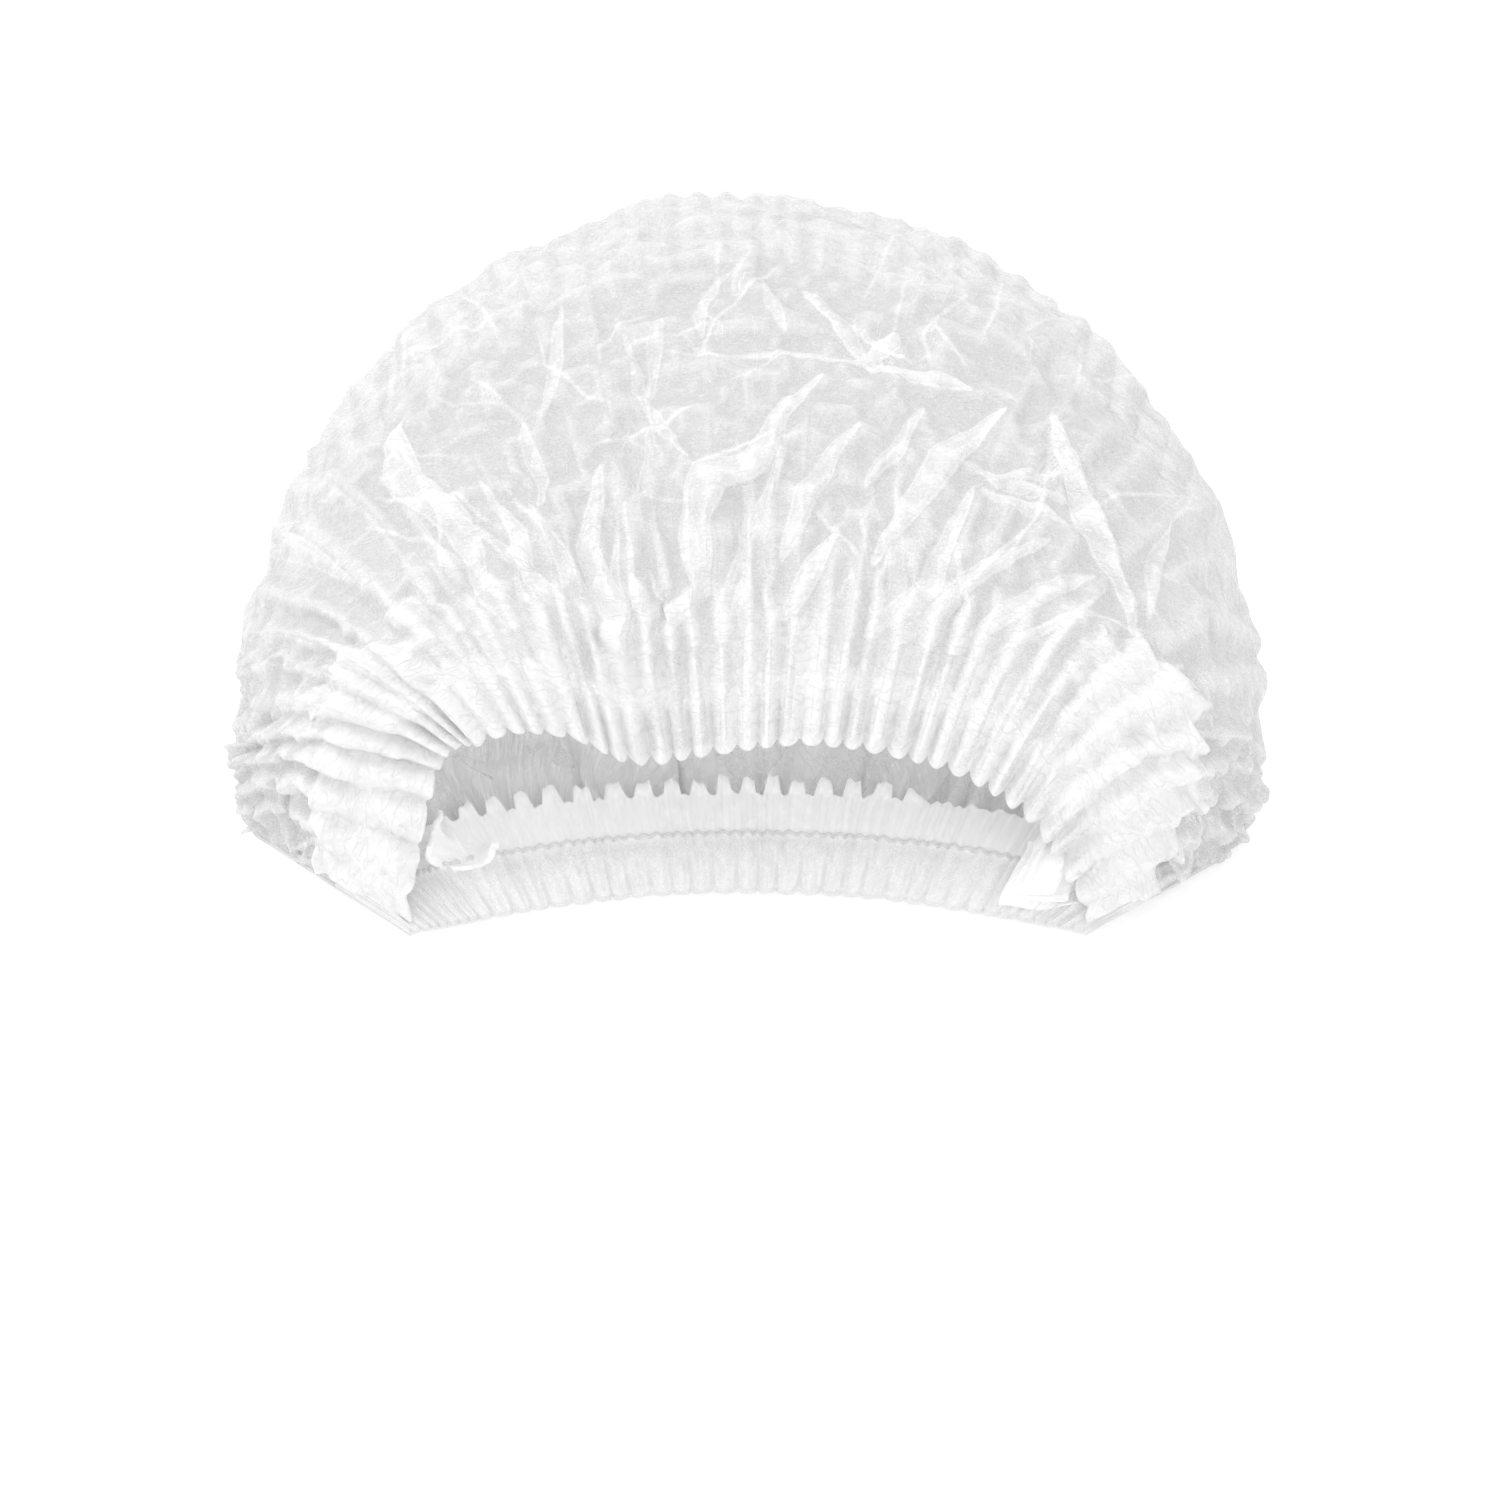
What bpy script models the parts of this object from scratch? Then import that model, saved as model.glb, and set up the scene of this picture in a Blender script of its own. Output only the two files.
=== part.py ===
"""Clip cap: a bouffant cap of thin non-woven sheet, gathered on elastic round its mouth.

The cap lies on its back panel with the crown puffed up, the mouth towards -Y and the back
fold of the crown towards +Y. Metres, +Z up; the sizes below are millimetres.
"""

import math

import bpy
import numpy as np
from mathutils import Matrix, Vector
from mathutils.bvhtree import BVHTree

MM = 0.001

# Crown, seen from above: half an ellipse behind its widest line and a squarer curve in front.
HALF_WIDTH = 138.0
BACK_REACH = 173.0
FRONT_REACH = 58.0
BACK_POWER = 2.0
FRONT_POWER = 2.6
PUFF_HEIGHT = 74.0
FOLD_RADIUS = 10.0
FOLD_PRESSED = 0.68
SHEET = 1.0
GAP = 0.3

# Mouth: the gathered rim that the head goes through.
HALF_MOUTH = 92.0
MOUTH_HEIGHT = 46.0
MOUTH_SETBACK = 28.0
RIM_FRONT = 14.0
RIM_BOW = 8.0
HEM_WIDTH = 30.0
HEM_SHEET = 1.7
HEM_SHARE_AT_ENDS = 0.42

# Gathers, made by the elastic along the middle of each hem.
GATHERS = 26
COLUMNS_PER_GATHER = 4
GATHER_DEPTH = 2.0
GATHER_FADE = 26.0
FLAT_FROM = 3.0
GATHERS_END = 0.12
GATHER_UNEVENNESS = 0.18
FOLD_WAVES = 13
FOLD_DEPTH = 3.0
FOLD_SWAY = 1.5
OUTLINE_SCALLOP = 1.8

ELASTIC_WIDTH = 2.4
ELASTIC_THICKNESS = 0.8
ELASTIC_SEGMENTS = 44
ELASTIC_SPAN = 0.84

# Sealed ends of the pleated strip: a curled tab on the left, a stack of pleats on the right.
# Their lengths along the mouth are shares of HALF_MOUTH, their heights of MOUTH_HEIGHT.
END_SHEET = 1.0
END_COLUMNS = 4
CURL_ROWS = 15
CURL_LENGTH = 0.185
CURL_HEIGHT = 0.28
CURL_WIDTH = 11.0
CURL_PLACE = -0.92
STACK_LENGTH = 0.23
STACK_HEIGHT = 0.24
STACK_WIDTH = 17.0
STACK_SLOPE = 12.0
STACK_INSET = 4.5
STACK_PLACE = 0.71

# How far round the crown's outline the last fold line of the fan ends, in degrees from the back.
FAN_END_LEFT = 108.0
FAN_END_RIGHT = 116.0
FAN_LINEAR = 96.0

# Fine points on each fold line, and half the stretch of it that gives its direction.
PATH_SAMPLES = 160
ROLL_SAMPLES = 40
DIRECTION_STEP = 0.5

# A height above the lower hem's highest gather, from which the end pieces are let down onto it.
HEM_CLEAR = HEM_SHEET + 2 * GATHER_DEPTH + 2 * END_SHEET

# Upper rim from the left end to the right end, as shares of HALF_MOUTH, MOUTH_SETBACK and
# MOUTH_HEIGHT. The left end drops steeply and the right end slopes down.
UPPER_RIM = {
    "across": (-1.0, -0.955, -0.9, -0.75, -0.5, -0.33, -0.1, 0.15, 0.4, 0.65, 0.84, 0.95, 1.0),
    "setback": (0.05, 0.55, 0.92, 1.0, 0.95, 0.78, 0.78, 0.83, 0.8, 0.7, 0.5, 0.22, 0.05),
    "height": (0.11, 0.4, 0.76, 1.0, 0.96, 0.8, 0.84, 0.9, 0.88, 0.78, 0.56, 0.3, 0.11),
}

# Crest of the crown across its width, as shares of PUFF_HEIGHT.
CREST = {
    "across": (-1.0, -0.9, -0.75, -0.5, -0.2, 0.1, 0.4, 0.7, 0.88, 1.0),
    "height": (0.08, 0.5, 0.78, 0.94, 1.0, 0.99, 0.97, 0.82, 0.54, 0.08),
}
CREST_AT = 0.36
CREST_ROUNDNESS = 2.2

# Rows of the hems, from the rim's folded edge: shares of HEM_WIDTH and of GATHER_DEPTH.
HEM_ROWS = {
    "across": (0.0, 0.5, 0.78, 1.0),
    "depth": (0.75, 0.22, 0.7, 1.0),
}

# Curled tab, seen along the mouth: shares of CURL_LENGTH and CURL_HEIGHT.
CURL = {
    "step": (0.0, 1.0, 2.0, 3.0, 4.0, 5.0, 6.0),
    "along": (0.06, 0.0, 0.12, 0.42, 0.76, 0.98, 1.0),
    "up": (1.0, 0.5, 0.1, 0.0, 0.12, 0.5, 0.86),
}

# Where each pleat of the stack turns back, as shares of STACK_LENGTH.
STACK_TURNS = (1.0, 0.0, 0.86, 0.14, 0.72, 0.26)

# Rows of the crown, as shares of its upper and lower halves.
TOP_ROWS = (0.0, 0.07, 0.15, 0.25, 0.37, 0.5, 0.63, 0.76, 0.87, 0.95, 1.0)
UNDER_ROWS = (0.62, 0.3)

# Main folds pushed up out of the crown's top: both ends as shares of HALF_WIDTH and of the
# whole depth, then the half width and the rise in millimetres.
MAIN_FOLDS = {
    "from_across": (-0.66, -0.5, -0.28, 0.13, -0.05, 0.5, 0.36, 0.62, 0.22, -0.47, 0.38),
    "from_back": (0.72, 0.5, 0.64, 0.76, 0.6, 0.72, 0.55, 0.68, 0.76, 0.82, 0.4),
    "to_across": (-0.5, -0.42, -0.25, -0.05, -0.16, 0.36, 0.14, 0.77, 0.42, -0.33, 0.72),
    "to_back": (0.5, 0.36, 0.4, 0.6, 0.36, 0.55, 0.36, 0.45, 0.7, 0.66, 0.52),
    "half_width": (9.0, 9.0, 9.0, 11.0, 9.0, 10.0, 9.0, 10.0, 8.0, 9.0, 8.0),
    "rise": (6.0, 5.0, 6.0, 8.0, 6.0, 7.0, 5.0, 7.0, 5.0, 5.0, 5.0),
}

SHEET_COLOUR = (0.86, 0.87, 0.87, 1.0)
HEM_COLOUR = (0.93, 0.93, 0.93, 1.0)
ELASTIC_COLOUR = (0.82, 0.83, 0.83, 1.0)
TAB_COLOUR = (0.97, 0.97, 0.97, 1.0)
CLOTH_ROUGHNESS = 0.85
ELASTIC_ROUGHNESS = 0.6


def clear_scene():
    for thing in list(bpy.data.objects):
        bpy.data.objects.remove(thing)


def material(name, colour, roughness):
    made = bpy.data.materials.new(name)
    made.use_nodes = True
    shader = made.node_tree.nodes["Principled BSDF"]
    shader.inputs["Base Color"].default_value = colour
    shader.inputs["Roughness"].default_value = roughness
    shader.inputs["Metallic"].default_value = 0.0
    return made


def smooth_table(table, column, at):
    """The column of a table at places across it, on a smooth curve through its rows."""
    across = np.array(table["across"])
    values = np.array(table[column])
    slopes = np.gradient(values, across)
    at = np.clip(at, across[0], across[-1])
    row = np.clip(np.searchsorted(across, at, side="right") - 1, 0, len(across) - 2)
    step = across[row + 1] - across[row]
    t = (at - across[row]) / step
    start = values[row] * (1 + 2 * t) + slopes[row] * step * t
    finish = values[row + 1] * (3 - 2 * t) + slopes[row + 1] * step * (t - 1)
    return start * (1 - t) ** 2 + finish * t**2


def smooth_step_table(table, column, steps):
    return smooth_table({"across": table["step"], column: table[column]}, column, steps)


def gather_lines():
    """Places of the columns along the rim, from -1 to 1, and the gathers' phase there. No two
    gathers are equally wide."""
    widths = 1 + GATHER_UNEVENNESS * np.sin(1.7 * np.arange(GATHERS))
    edges = np.concatenate([[0.0], np.cumsum(widths)])
    count = GATHERS * COLUMNS_PER_GATHER + 1
    gather = np.linspace(0, GATHERS, count)
    across = np.interp(gather, np.arange(GATHERS + 1), edges / edges[-1]) * 2 - 1
    return across, gather * 2 * math.pi


def signed_power(value, power):
    return np.sign(value) * np.abs(value) ** power


def fold_wave(across, phase):
    """Broad soft folds across the crown, which also scallop its outline."""
    return np.sin(phase * FOLD_WAVES / GATHERS + FOLD_SWAY * np.sin(4 * across))


def outline(across, phase):
    """Plan of the crown's edge where the fold line from each place on the rim ends."""
    fan_end = np.where(across < 0, FAN_END_LEFT, FAN_END_RIGHT)
    angle = np.radians(FAN_LINEAR * across + (fan_end - FAN_LINEAR) * across**3)
    power = np.where(np.cos(angle) > 0, BACK_POWER, FRONT_POWER)
    reach = np.where(np.cos(angle) > 0, BACK_REACH, FRONT_REACH)
    scallop = OUTLINE_SCALLOP * fold_wave(across, phase) * (1 - across**4)
    x = (HALF_WIDTH + scallop) * signed_power(np.sin(angle), 2 / power)
    y = (reach + scallop) * signed_power(np.cos(angle), 2 / power)
    return np.stack([x, y + FRONT_REACH], axis=-1)


def upper_rim(across):
    x = HALF_MOUTH * across
    y = lower_rim_y(across) + MOUTH_SETBACK * smooth_table(UPPER_RIM, "setback", across)
    z = MOUTH_HEIGHT * smooth_table(UPPER_RIM, "height", across)
    return np.stack([x, y, z], axis=-1)


def lower_rim_y(across):
    return RIM_FRONT - RIM_BOW * across**2


def lower_rim(across):
    resting = np.full_like(across, SHEET / 2)
    return np.stack([HALF_MOUTH * across, lower_rim_y(across), resting], axis=-1)


def fold_height(across):
    """Height of the crown's outer fold, which is pressed flat at both ends."""
    return FOLD_RADIUS * (1 - FOLD_PRESSED * np.abs(across) ** 3)


def top_paths(across, phase):
    """Fine points of the upper half of the sheet, from the upper rim to the crown's edge."""
    share = np.linspace(0, 1, PATH_SAMPLES)[:, None]
    rim = upper_rim(across)
    edge = outline(across, phase)
    crest = PUFF_HEIGHT * smooth_table(CREST, "height", across)
    crest = np.maximum(crest, rim[:, 2])
    low = fold_height(across)
    climb = np.sin(np.clip(share / CREST_AT, 0, 1) * math.pi / 2)
    fall = np.clip((share - CREST_AT) / (1 - CREST_AT), 0, 1)
    rising = rim[:, 2] + (crest - rim[:, 2]) * climb
    falling = low + (crest - low) * np.sqrt(1 - fall**CREST_ROUNDNESS)
    z = np.where(share < CREST_AT, rising, falling)
    xy = rim[:, :2] + (edge - rim[:, :2]) * np.sin(share * math.pi / 2)[..., None]
    # The plan follows the same sine as the edge's roll, so that rows gather near the fold.
    z_share = np.sin(share * math.pi / 2)
    z = interpolate_rows(z, share[:, 0], z_share[:, 0])
    return np.concatenate([xy, z[..., None]], axis=-1)


def interpolate_rows(values, rows, at):
    return np.stack([np.interp(at, rows, column) for column in values.T], axis=-1)


def under_paths(across, phase):
    """Fine points of the lower half of the sheet, from the crown's edge to the lower rim, and
    the row where the rolled edge ends."""
    rim = lower_rim(across)
    edge = outline(across, phase)
    low = fold_height(across)
    away = edge - rim[:, :2]
    length = np.linalg.norm(away, axis=-1)
    roll = np.minimum(low - SHEET / 2, length / 2)
    turn = np.linspace(0, math.pi / 2, ROLL_SAMPLES)[:, None]
    inward = roll * (1 - np.cos(turn))
    rolled_xy = edge - away * (inward / length)[..., None]
    rolled_z = low - (low - SHEET / 2) * np.sin(turn)
    rolled = np.concatenate([rolled_xy, rolled_z[..., None]], axis=-1)
    share = np.linspace(0, 1, PATH_SAMPLES)[1:, None, None]
    flat = rolled[-1] + (rim - rolled[-1]) * share
    return np.concatenate([rolled, flat], axis=0), ROLL_SAMPLES - 1


def along(paths):
    """Length from the first point along each path."""
    steps = np.linalg.norm(np.diff(paths, axis=0), axis=-1)
    return np.concatenate([np.zeros((1, steps.shape[1])), np.cumsum(steps, axis=0)])


def points_at(paths, lengths):
    """Points at the given lengths along each path; lengths has a row for each row of points."""
    run = along(paths)
    columns = []
    for column in range(paths.shape[1]):
        axes = [
            np.interp(lengths[:, column], run[:, column], paths[:, column, axis])
            for axis in range(3)
        ]
        columns.append(np.stack(axes, axis=-1))
    return np.stack(columns, axis=1)


def normals_of(grid, down):
    """Unit normals of a grid, square to its fold lines, whose directions are given."""
    side = np.gradient(grid, axis=1)
    normal = np.cross(side, down)
    return normal / np.linalg.norm(normal, axis=-1, keepdims=True)


def grid_at(paths, lengths):
    """Points at the given lengths along each path, and the directions of the paths there."""
    points = points_at(paths, lengths)
    ahead = points_at(paths, lengths + DIRECTION_STEP)
    behind = points_at(paths, lengths - DIRECTION_STEP)
    return points, ahead - behind


def gathered(across):
    """How deep the gathers are along the rim: they run out where the strip's ends are sealed."""
    return np.clip((1 - np.abs(across)) / GATHERS_END, 0, 1)


def hem_lengths(paths):
    """The hem is as wide as it is sewn, but narrows where the sheet runs out at the ends."""
    return np.minimum(HEM_WIDTH, HEM_SHARE_AT_ENDS * along(paths)[-1])


def hem_grid(paths, across, phase, lift):
    """Rows of a hem with their gathers. lift is 1 where the hem lies on the ground."""
    width = hem_lengths(paths)
    shares = np.array(HEM_ROWS["across"])[:, None]
    depth = GATHER_DEPTH * np.array(HEM_ROWS["depth"])[:, None]
    points, down = grid_at(paths, shares * (width - GAP / 2))
    wave = depth * gathered(across) * (np.cos(phase) + lift)
    if lift:
        points[..., 2] += (HEM_SHEET - SHEET) / 2
        return lifted(points, wave), down
    return points + normals_of(points, down) * wave[..., None], down


def lifted(points, wave):
    """Points moved straight up by wave, from the ground into the cap."""
    moved = points.copy()
    moved[..., 2] += wave
    return moved


def main_fold_rise(grid):
    """Height that the main folds add at each point of the crown's top."""
    depth = BACK_REACH + FRONT_REACH
    rise = np.zeros(grid.shape[:2])
    for row in zip(*MAIN_FOLDS.values()):
        from_across, from_back, to_across, to_back, half_width, height = row
        start = np.array([from_across * HALF_WIDTH, from_back * depth])
        run = np.array([to_across * HALF_WIDTH, to_back * depth]) - start
        away = grid[..., :2] - start
        share = np.clip(away @ run / (run @ run), 0, 1)
        distance = np.linalg.norm(away - share[..., None] * run, axis=-1)
        rise = np.maximum(rise, height * np.clip(1 - distance / half_width, 0, 1))
    return rise


def crown_grid(across, phase):
    """Middle of the crown's sheet, from the upper hem over the top, round the fold and back
    along the ground to the lower hem."""
    top = top_paths(across, phase)
    under, roll_end = under_paths(across, phase)
    top_hem = hem_lengths(top) + GAP / 2
    top_run = along(top)[-1] - top_hem
    top_rows = top_hem + np.array(TOP_ROWS)[:, None] * top_run
    upper, upper_down = grid_at(top, top_rows)
    beyond = top_rows - top_hem
    fine = GATHER_DEPTH * np.exp(-beyond / GATHER_FADE) * np.cos(phase)
    soft = FOLD_DEPTH * fold_wave(across, phase) * (1 - across**4)
    near_edge = 1 - np.array(TOP_ROWS)[:, None] ** 3
    past_hem = 1 - np.exp(-beyond / GATHER_FADE)
    wave = (fine + (soft + main_fold_rise(upper)) * near_edge * past_hem) * gathered(across)
    upper = upper + normals_of(upper, upper_down) * wave[..., None]

    under_run = along(under)
    roll = under_run[roll_end]
    under_hem = hem_lengths(under[::-1]) + GAP / 2
    flat_run = under_run[-1] - under_hem - roll
    rows = [roll / 2, roll]
    rows += [roll + (1 - share) * flat_run for share in UNDER_ROWS]
    rows += [roll + flat_run]
    rows = np.stack(rows)
    lower, lower_down = grid_at(under, rows)
    to_hem = roll + flat_run - rows
    fading = np.clip(1 - to_hem / (FLAT_FROM * GATHER_FADE), 0, 1) ** 2
    lift = GATHER_DEPTH * fading * (np.cos(phase) + 1) * gathered(across)
    points = np.concatenate([upper, lifted(lower, lift)])
    return points, np.concatenate([upper_down, lower_down])


def shell(name, grid, down, thickness, finish):
    """A closed solid of the given thickness about a gathered grid of points."""
    normal = normals_of(grid, down) * thickness / 2
    outer = grid + normal
    inner = grid - normal
    rows, columns = grid.shape[:2]
    count = rows * columns
    points = np.concatenate([outer.reshape(-1, 3), inner.reshape(-1, 3)]) * MM

    def outside(row, column):
        return row * columns + column

    def inside(row, column):
        return count + row * columns + column

    faces = []
    for row in range(rows - 1):
        for column in range(columns - 1):
            corners = ((row, column), (row + 1, column), (row + 1, column + 1), (row, column + 1))
            faces.append([outside(*corner) for corner in reversed(corners)])
            faces.append([inside(*corner) for corner in corners])
    border = [(0, column) for column in range(columns)]
    border += [(row, columns - 1) for row in range(1, rows)]
    border += [(rows - 1, column) for column in range(columns - 2, -1, -1)]
    border += [(row, 0) for row in range(rows - 2, 0, -1)]
    for here, there in zip(border, border[1:] + border[:1]):
        faces.append([inside(*here), inside(*there), outside(*there), outside(*here)])
    return solid(name, points, faces, finish)


def solid(name, points, faces, finish):
    mesh = bpy.data.meshes.new(name)
    mesh.from_pydata([tuple(point) for point in points], [], faces)
    mesh.update()
    mesh.shade_smooth()
    mesh.set_sharp_from_angle(angle=math.radians(50))
    made = bpy.data.objects.new(name, mesh)
    bpy.context.scene.collection.objects.link(made)
    mesh.materials.append(finish)
    return made


def elastic(name, paths, resting, finish):
    """Flat elastic along the middle of a hem, on the side of the sheet that faces the head.
    resting is True where the hem lies on the ground, with its inner side up."""
    width = hem_lengths(paths)
    middle = 0.5 * width
    lines = np.stack([middle - ELASTIC_WIDTH / 2, middle + ELASTIC_WIDTH / 2])
    edges = points_at(paths, lines)
    ripple = GATHER_DEPTH * HEM_ROWS["depth"][1]
    clear = HEM_SHEET / 2 + GAP + ripple
    inward = -normals_of(*grid_at(paths, middle[None]))[0]
    if resting:
        inward = -inward
        clear += ripple + (HEM_SHEET - SHEET) / 2
    near = edges + inward * clear
    far = edges + inward * (clear + ELASTIC_THICKNESS)
    ring = np.stack([near[0], near[1], far[1], far[0]], axis=1)
    if resting:
        ring = ring[:, ::-1]
    stations = len(ring)
    faces = []
    for station in range(stations - 1):
        for corner in range(4):
            after = (corner + 1) % 4
            here = station * 4
            faces.append([here + after, here + corner, here + 4 + corner, here + 4 + after])
    faces.append([0, 1, 2, 3])
    last = (stations - 1) * 4
    faces.append([last + 3, last + 2, last + 1, last])
    return solid(name, ring.reshape(-1, 3) * MM, faces, finish)


def strip(name, line, origin, across, finish):
    """A folded strip: its profile line, seen along the mouth, swept over the vector across."""
    shares = np.linspace(0, 1, END_COLUMNS)
    grid = np.array([[origin + point + share * across for share in shares] for point in line])
    down = np.gradient(grid, axis=0)
    return shell(name, grid, down, END_SHEET, finish)


def points_on_edges(thing):
    """The corners of a mesh and points between them along its edges."""
    corners = [vertex.co for vertex in thing.data.vertices]
    for edge in thing.data.edges:
        start, end = (corners[index] for index in edge.vertices)
        for quarter in range(4):
            yield start.lerp(end, quarter / 4)


def seat(piece, support):
    """Lowers a piece until it lies the gap above the piece that carries it."""
    depsgraph = bpy.context.evaluated_depsgraph_get()
    below = BVHTree.FromObject(support, depsgraph)
    above = BVHTree.FromObject(piece, depsgraph)
    up = Vector((0, 0, 1))
    hits = [below.ray_cast(point, -up) for point in points_on_edges(piece)]
    hits += [above.ray_cast(point, up) for point in points_on_edges(support)]
    room = min(distance for *_, distance in hits if distance is not None)
    piece.data.transform(Matrix.Translation(up * (GAP * MM - room)))


def left_end(support, finish):
    """The curled tab, standing on the lower hem in the mouth's left corner."""
    steps = np.linspace(0, CURL["step"][-1], CURL_ROWS)
    along_mouth = CURL_LENGTH * HALF_MOUTH * smooth_step_table(CURL, "along", steps)
    up = CURL_HEIGHT * MOUTH_HEIGHT * smooth_step_table(CURL, "up", steps)
    line = np.stack([along_mouth, np.zeros_like(up), up], axis=-1)
    origin = np.array([CURL_PLACE * HALF_MOUTH, lower_rim_y(1.0) + HEM_WIDTH / 2, HEM_CLEAR])
    seat(strip("left_end", line, origin, np.array([0, CURL_WIDTH, 0]), finish), support)


def right_end(support, finish):
    """The stack of pleats, lying on the lower hem in the mouth's right corner."""
    length = STACK_LENGTH * HALF_MOUTH
    pitch = STACK_HEIGHT * MOUTH_HEIGHT / (len(STACK_TURNS) - 1)
    line = [(STACK_TURNS[0] * length, 0)]
    for pleat, turn in enumerate(STACK_TURNS[1:]):
        side = 1 if pleat % 2 else -1
        height = pleat * pitch
        at = turn * length
        fold_start = at - side * pitch / 2
        line += [(fold_start, height), (at, height + pitch / 2), (fold_start, height + pitch)]
    line = np.array([(x, 0.0, z) for x, z in line])
    slope = math.radians(STACK_SLOPE)
    across = STACK_WIDTH * np.array([0, math.cos(slope), math.sin(slope)])
    origin = np.array([STACK_PLACE * HALF_MOUTH, lower_rim_y(1.0) + STACK_INSET, HEM_CLEAR])
    seat(strip("right_end", line, origin, across, finish), support)


def centre_on_origin():
    """Moves the cap so that the origin is on the ground under the middle of its box."""
    corners = np.array([
        tuple(vertex.co) for thing in bpy.data.objects for vertex in thing.data.vertices
    ])
    middle = (corners.min(axis=0) + corners.max(axis=0)) / 2
    for thing in bpy.data.objects:
        thing.data.transform(Matrix.Translation((-middle[0], -middle[1], -corners[:, 2].min())))


def main():
    clear_scene()
    sheet_finish = material("nonwoven_sheet", SHEET_COLOUR, CLOTH_ROUGHNESS)
    hem_finish = material("nonwoven_hem", HEM_COLOUR, CLOTH_ROUGHNESS)
    elastic_finish = material("elastic", ELASTIC_COLOUR, ELASTIC_ROUGHNESS)
    across, phase = gather_lines()
    shell("crown", *crown_grid(across, phase), SHEET, sheet_finish)
    top = top_paths(across, phase)
    under = under_paths(across, phase)[0][::-1]
    shell("upper_hem", *hem_grid(top, across, phase, 0), HEM_SHEET, hem_finish)
    lower_hem = shell("lower_hem", *hem_grid(under, across, phase, 1), HEM_SHEET, hem_finish)
    span = np.linspace(-ELASTIC_SPAN, ELASTIC_SPAN, ELASTIC_SEGMENTS + 1)
    span_phase = np.interp(span, across, phase)
    elastic("upper_elastic", top_paths(span, span_phase), False, elastic_finish)
    lower = under_paths(span, span_phase)[0][::-1]
    elastic("lower_elastic", lower, True, elastic_finish)
    end_finish = material("sealed_end", TAB_COLOUR, CLOTH_ROUGHNESS)
    left_end(lower_hem, end_finish)
    right_end(lower_hem, end_finish)
    centre_on_origin()


main()
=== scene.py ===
"""The clip cap's looks: thin white non-woven sheet, pleated hems, elastics and sealed ends.

The sheet is one grid of points. Its rows run from the upper rim over the crown, round the fold at
the outline and back under it to the lower rim, and its columns run across the mouth from left to
right. Lengths are millimetres in the plan of the cap, whose front line is then put where the
frame has it.
"""

import math
from collections import namedtuple
from types import SimpleNamespace

import bpy
import numpy as np
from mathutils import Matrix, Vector


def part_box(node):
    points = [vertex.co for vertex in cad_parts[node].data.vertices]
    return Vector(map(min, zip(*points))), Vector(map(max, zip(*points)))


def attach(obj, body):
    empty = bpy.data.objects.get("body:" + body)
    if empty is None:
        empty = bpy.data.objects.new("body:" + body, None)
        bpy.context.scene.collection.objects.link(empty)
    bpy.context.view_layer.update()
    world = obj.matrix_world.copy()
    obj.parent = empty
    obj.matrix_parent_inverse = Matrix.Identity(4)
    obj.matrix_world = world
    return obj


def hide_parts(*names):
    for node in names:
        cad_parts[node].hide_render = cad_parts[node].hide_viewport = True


# A folded band or crease: half its width, its rise, how white its doubled cloth is, its way over
# the cap's plan, and whether it is pointed at both ends or only at the far one.
Fold = namedtuple("Fold", "half_width rise white way both_ends", defaults=(True,))

MM = 0.001
RANDOM_SEED = 7

# The cap's own sizes, as the solids have them
HALF_WIDTH = 138.0
BACK_REACH = 173.0
FRONT_REACH = 58.0
BACK_POWER = 2.0
FRONT_POWER = 2.6
PUFF_HEIGHT = 74.0
FOLD_RADIUS = 10.0
FOLD_PRESSED = 0.68
HALF_MOUTH = 92.0
MOUTH_HEIGHT = 46.0
MOUTH_SETBACK = 28.0
RIM_FRONT = 14.0
RIM_BOW = 8.0
HEM_WIDTH = 30.0
HEM_SHARE_AT_ENDS = 0.42
FAN_END_LEFT = 108.0
FAN_END_RIGHT = 116.0
FAN_LINEAR = 96.0
CREST_AT = 0.36
CREST_ROUNDNESS = 2.2
UPPER_RIM = {
    "across": (-1.0, -0.955, -0.9, -0.75, -0.5, -0.33, -0.1, 0.15, 0.4, 0.65, 0.84, 0.95, 1.0),
    "setback": (0.05, 0.55, 0.92, 1.0, 0.95, 0.78, 0.78, 0.83, 0.8, 0.7, 0.5, 0.22, 0.05),
    "height": (0.11, 0.4, 0.76, 1.0, 0.96, 0.8, 0.84, 0.9, 0.88, 0.78, 0.56, 0.3, 0.11),
}
CREST = {
    "across": (-1.0, -0.9, -0.75, -0.5, -0.2, 0.1, 0.4, 0.7, 0.88, 1.0),
    "height": (0.08, 0.5, 0.78, 0.94, 1.0, 0.99, 0.97, 0.82, 0.54, 0.08),
}
UNDER_HEIGHT = 0.5

# The flat cloth along the mouth, and how much of a doubled hem's length is cloth
FLAT_WIDTH = 530.0

# How much further in the elastic draws the middle of each rim than in the solids
UPPER_TRIM = 4.5
LOWER_TRIM = 6.0

# The sheet's grid: rows of each stretch, and every how many of them the simulation uses
GATHERS = 40
COLUMNS_PER_GATHER = 11
HEM_ROWS = 24
TOP_ROWS = 148
ROLL_ROWS = 12
UNDER_ROWS = 64
RIM_ROWS = 5
SIM_STEP = 4
PATH_SAMPLES = 160
RIM_SAMPLES = 401
SHEET_LIFT = 0.4

# Stretches of the sheet: from the hem to free cloth, and the corners of the mouth
FREE_AFTER = 15.0
CORNER_FROM = 0.72
CORNER_FADE = 0.12

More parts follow.
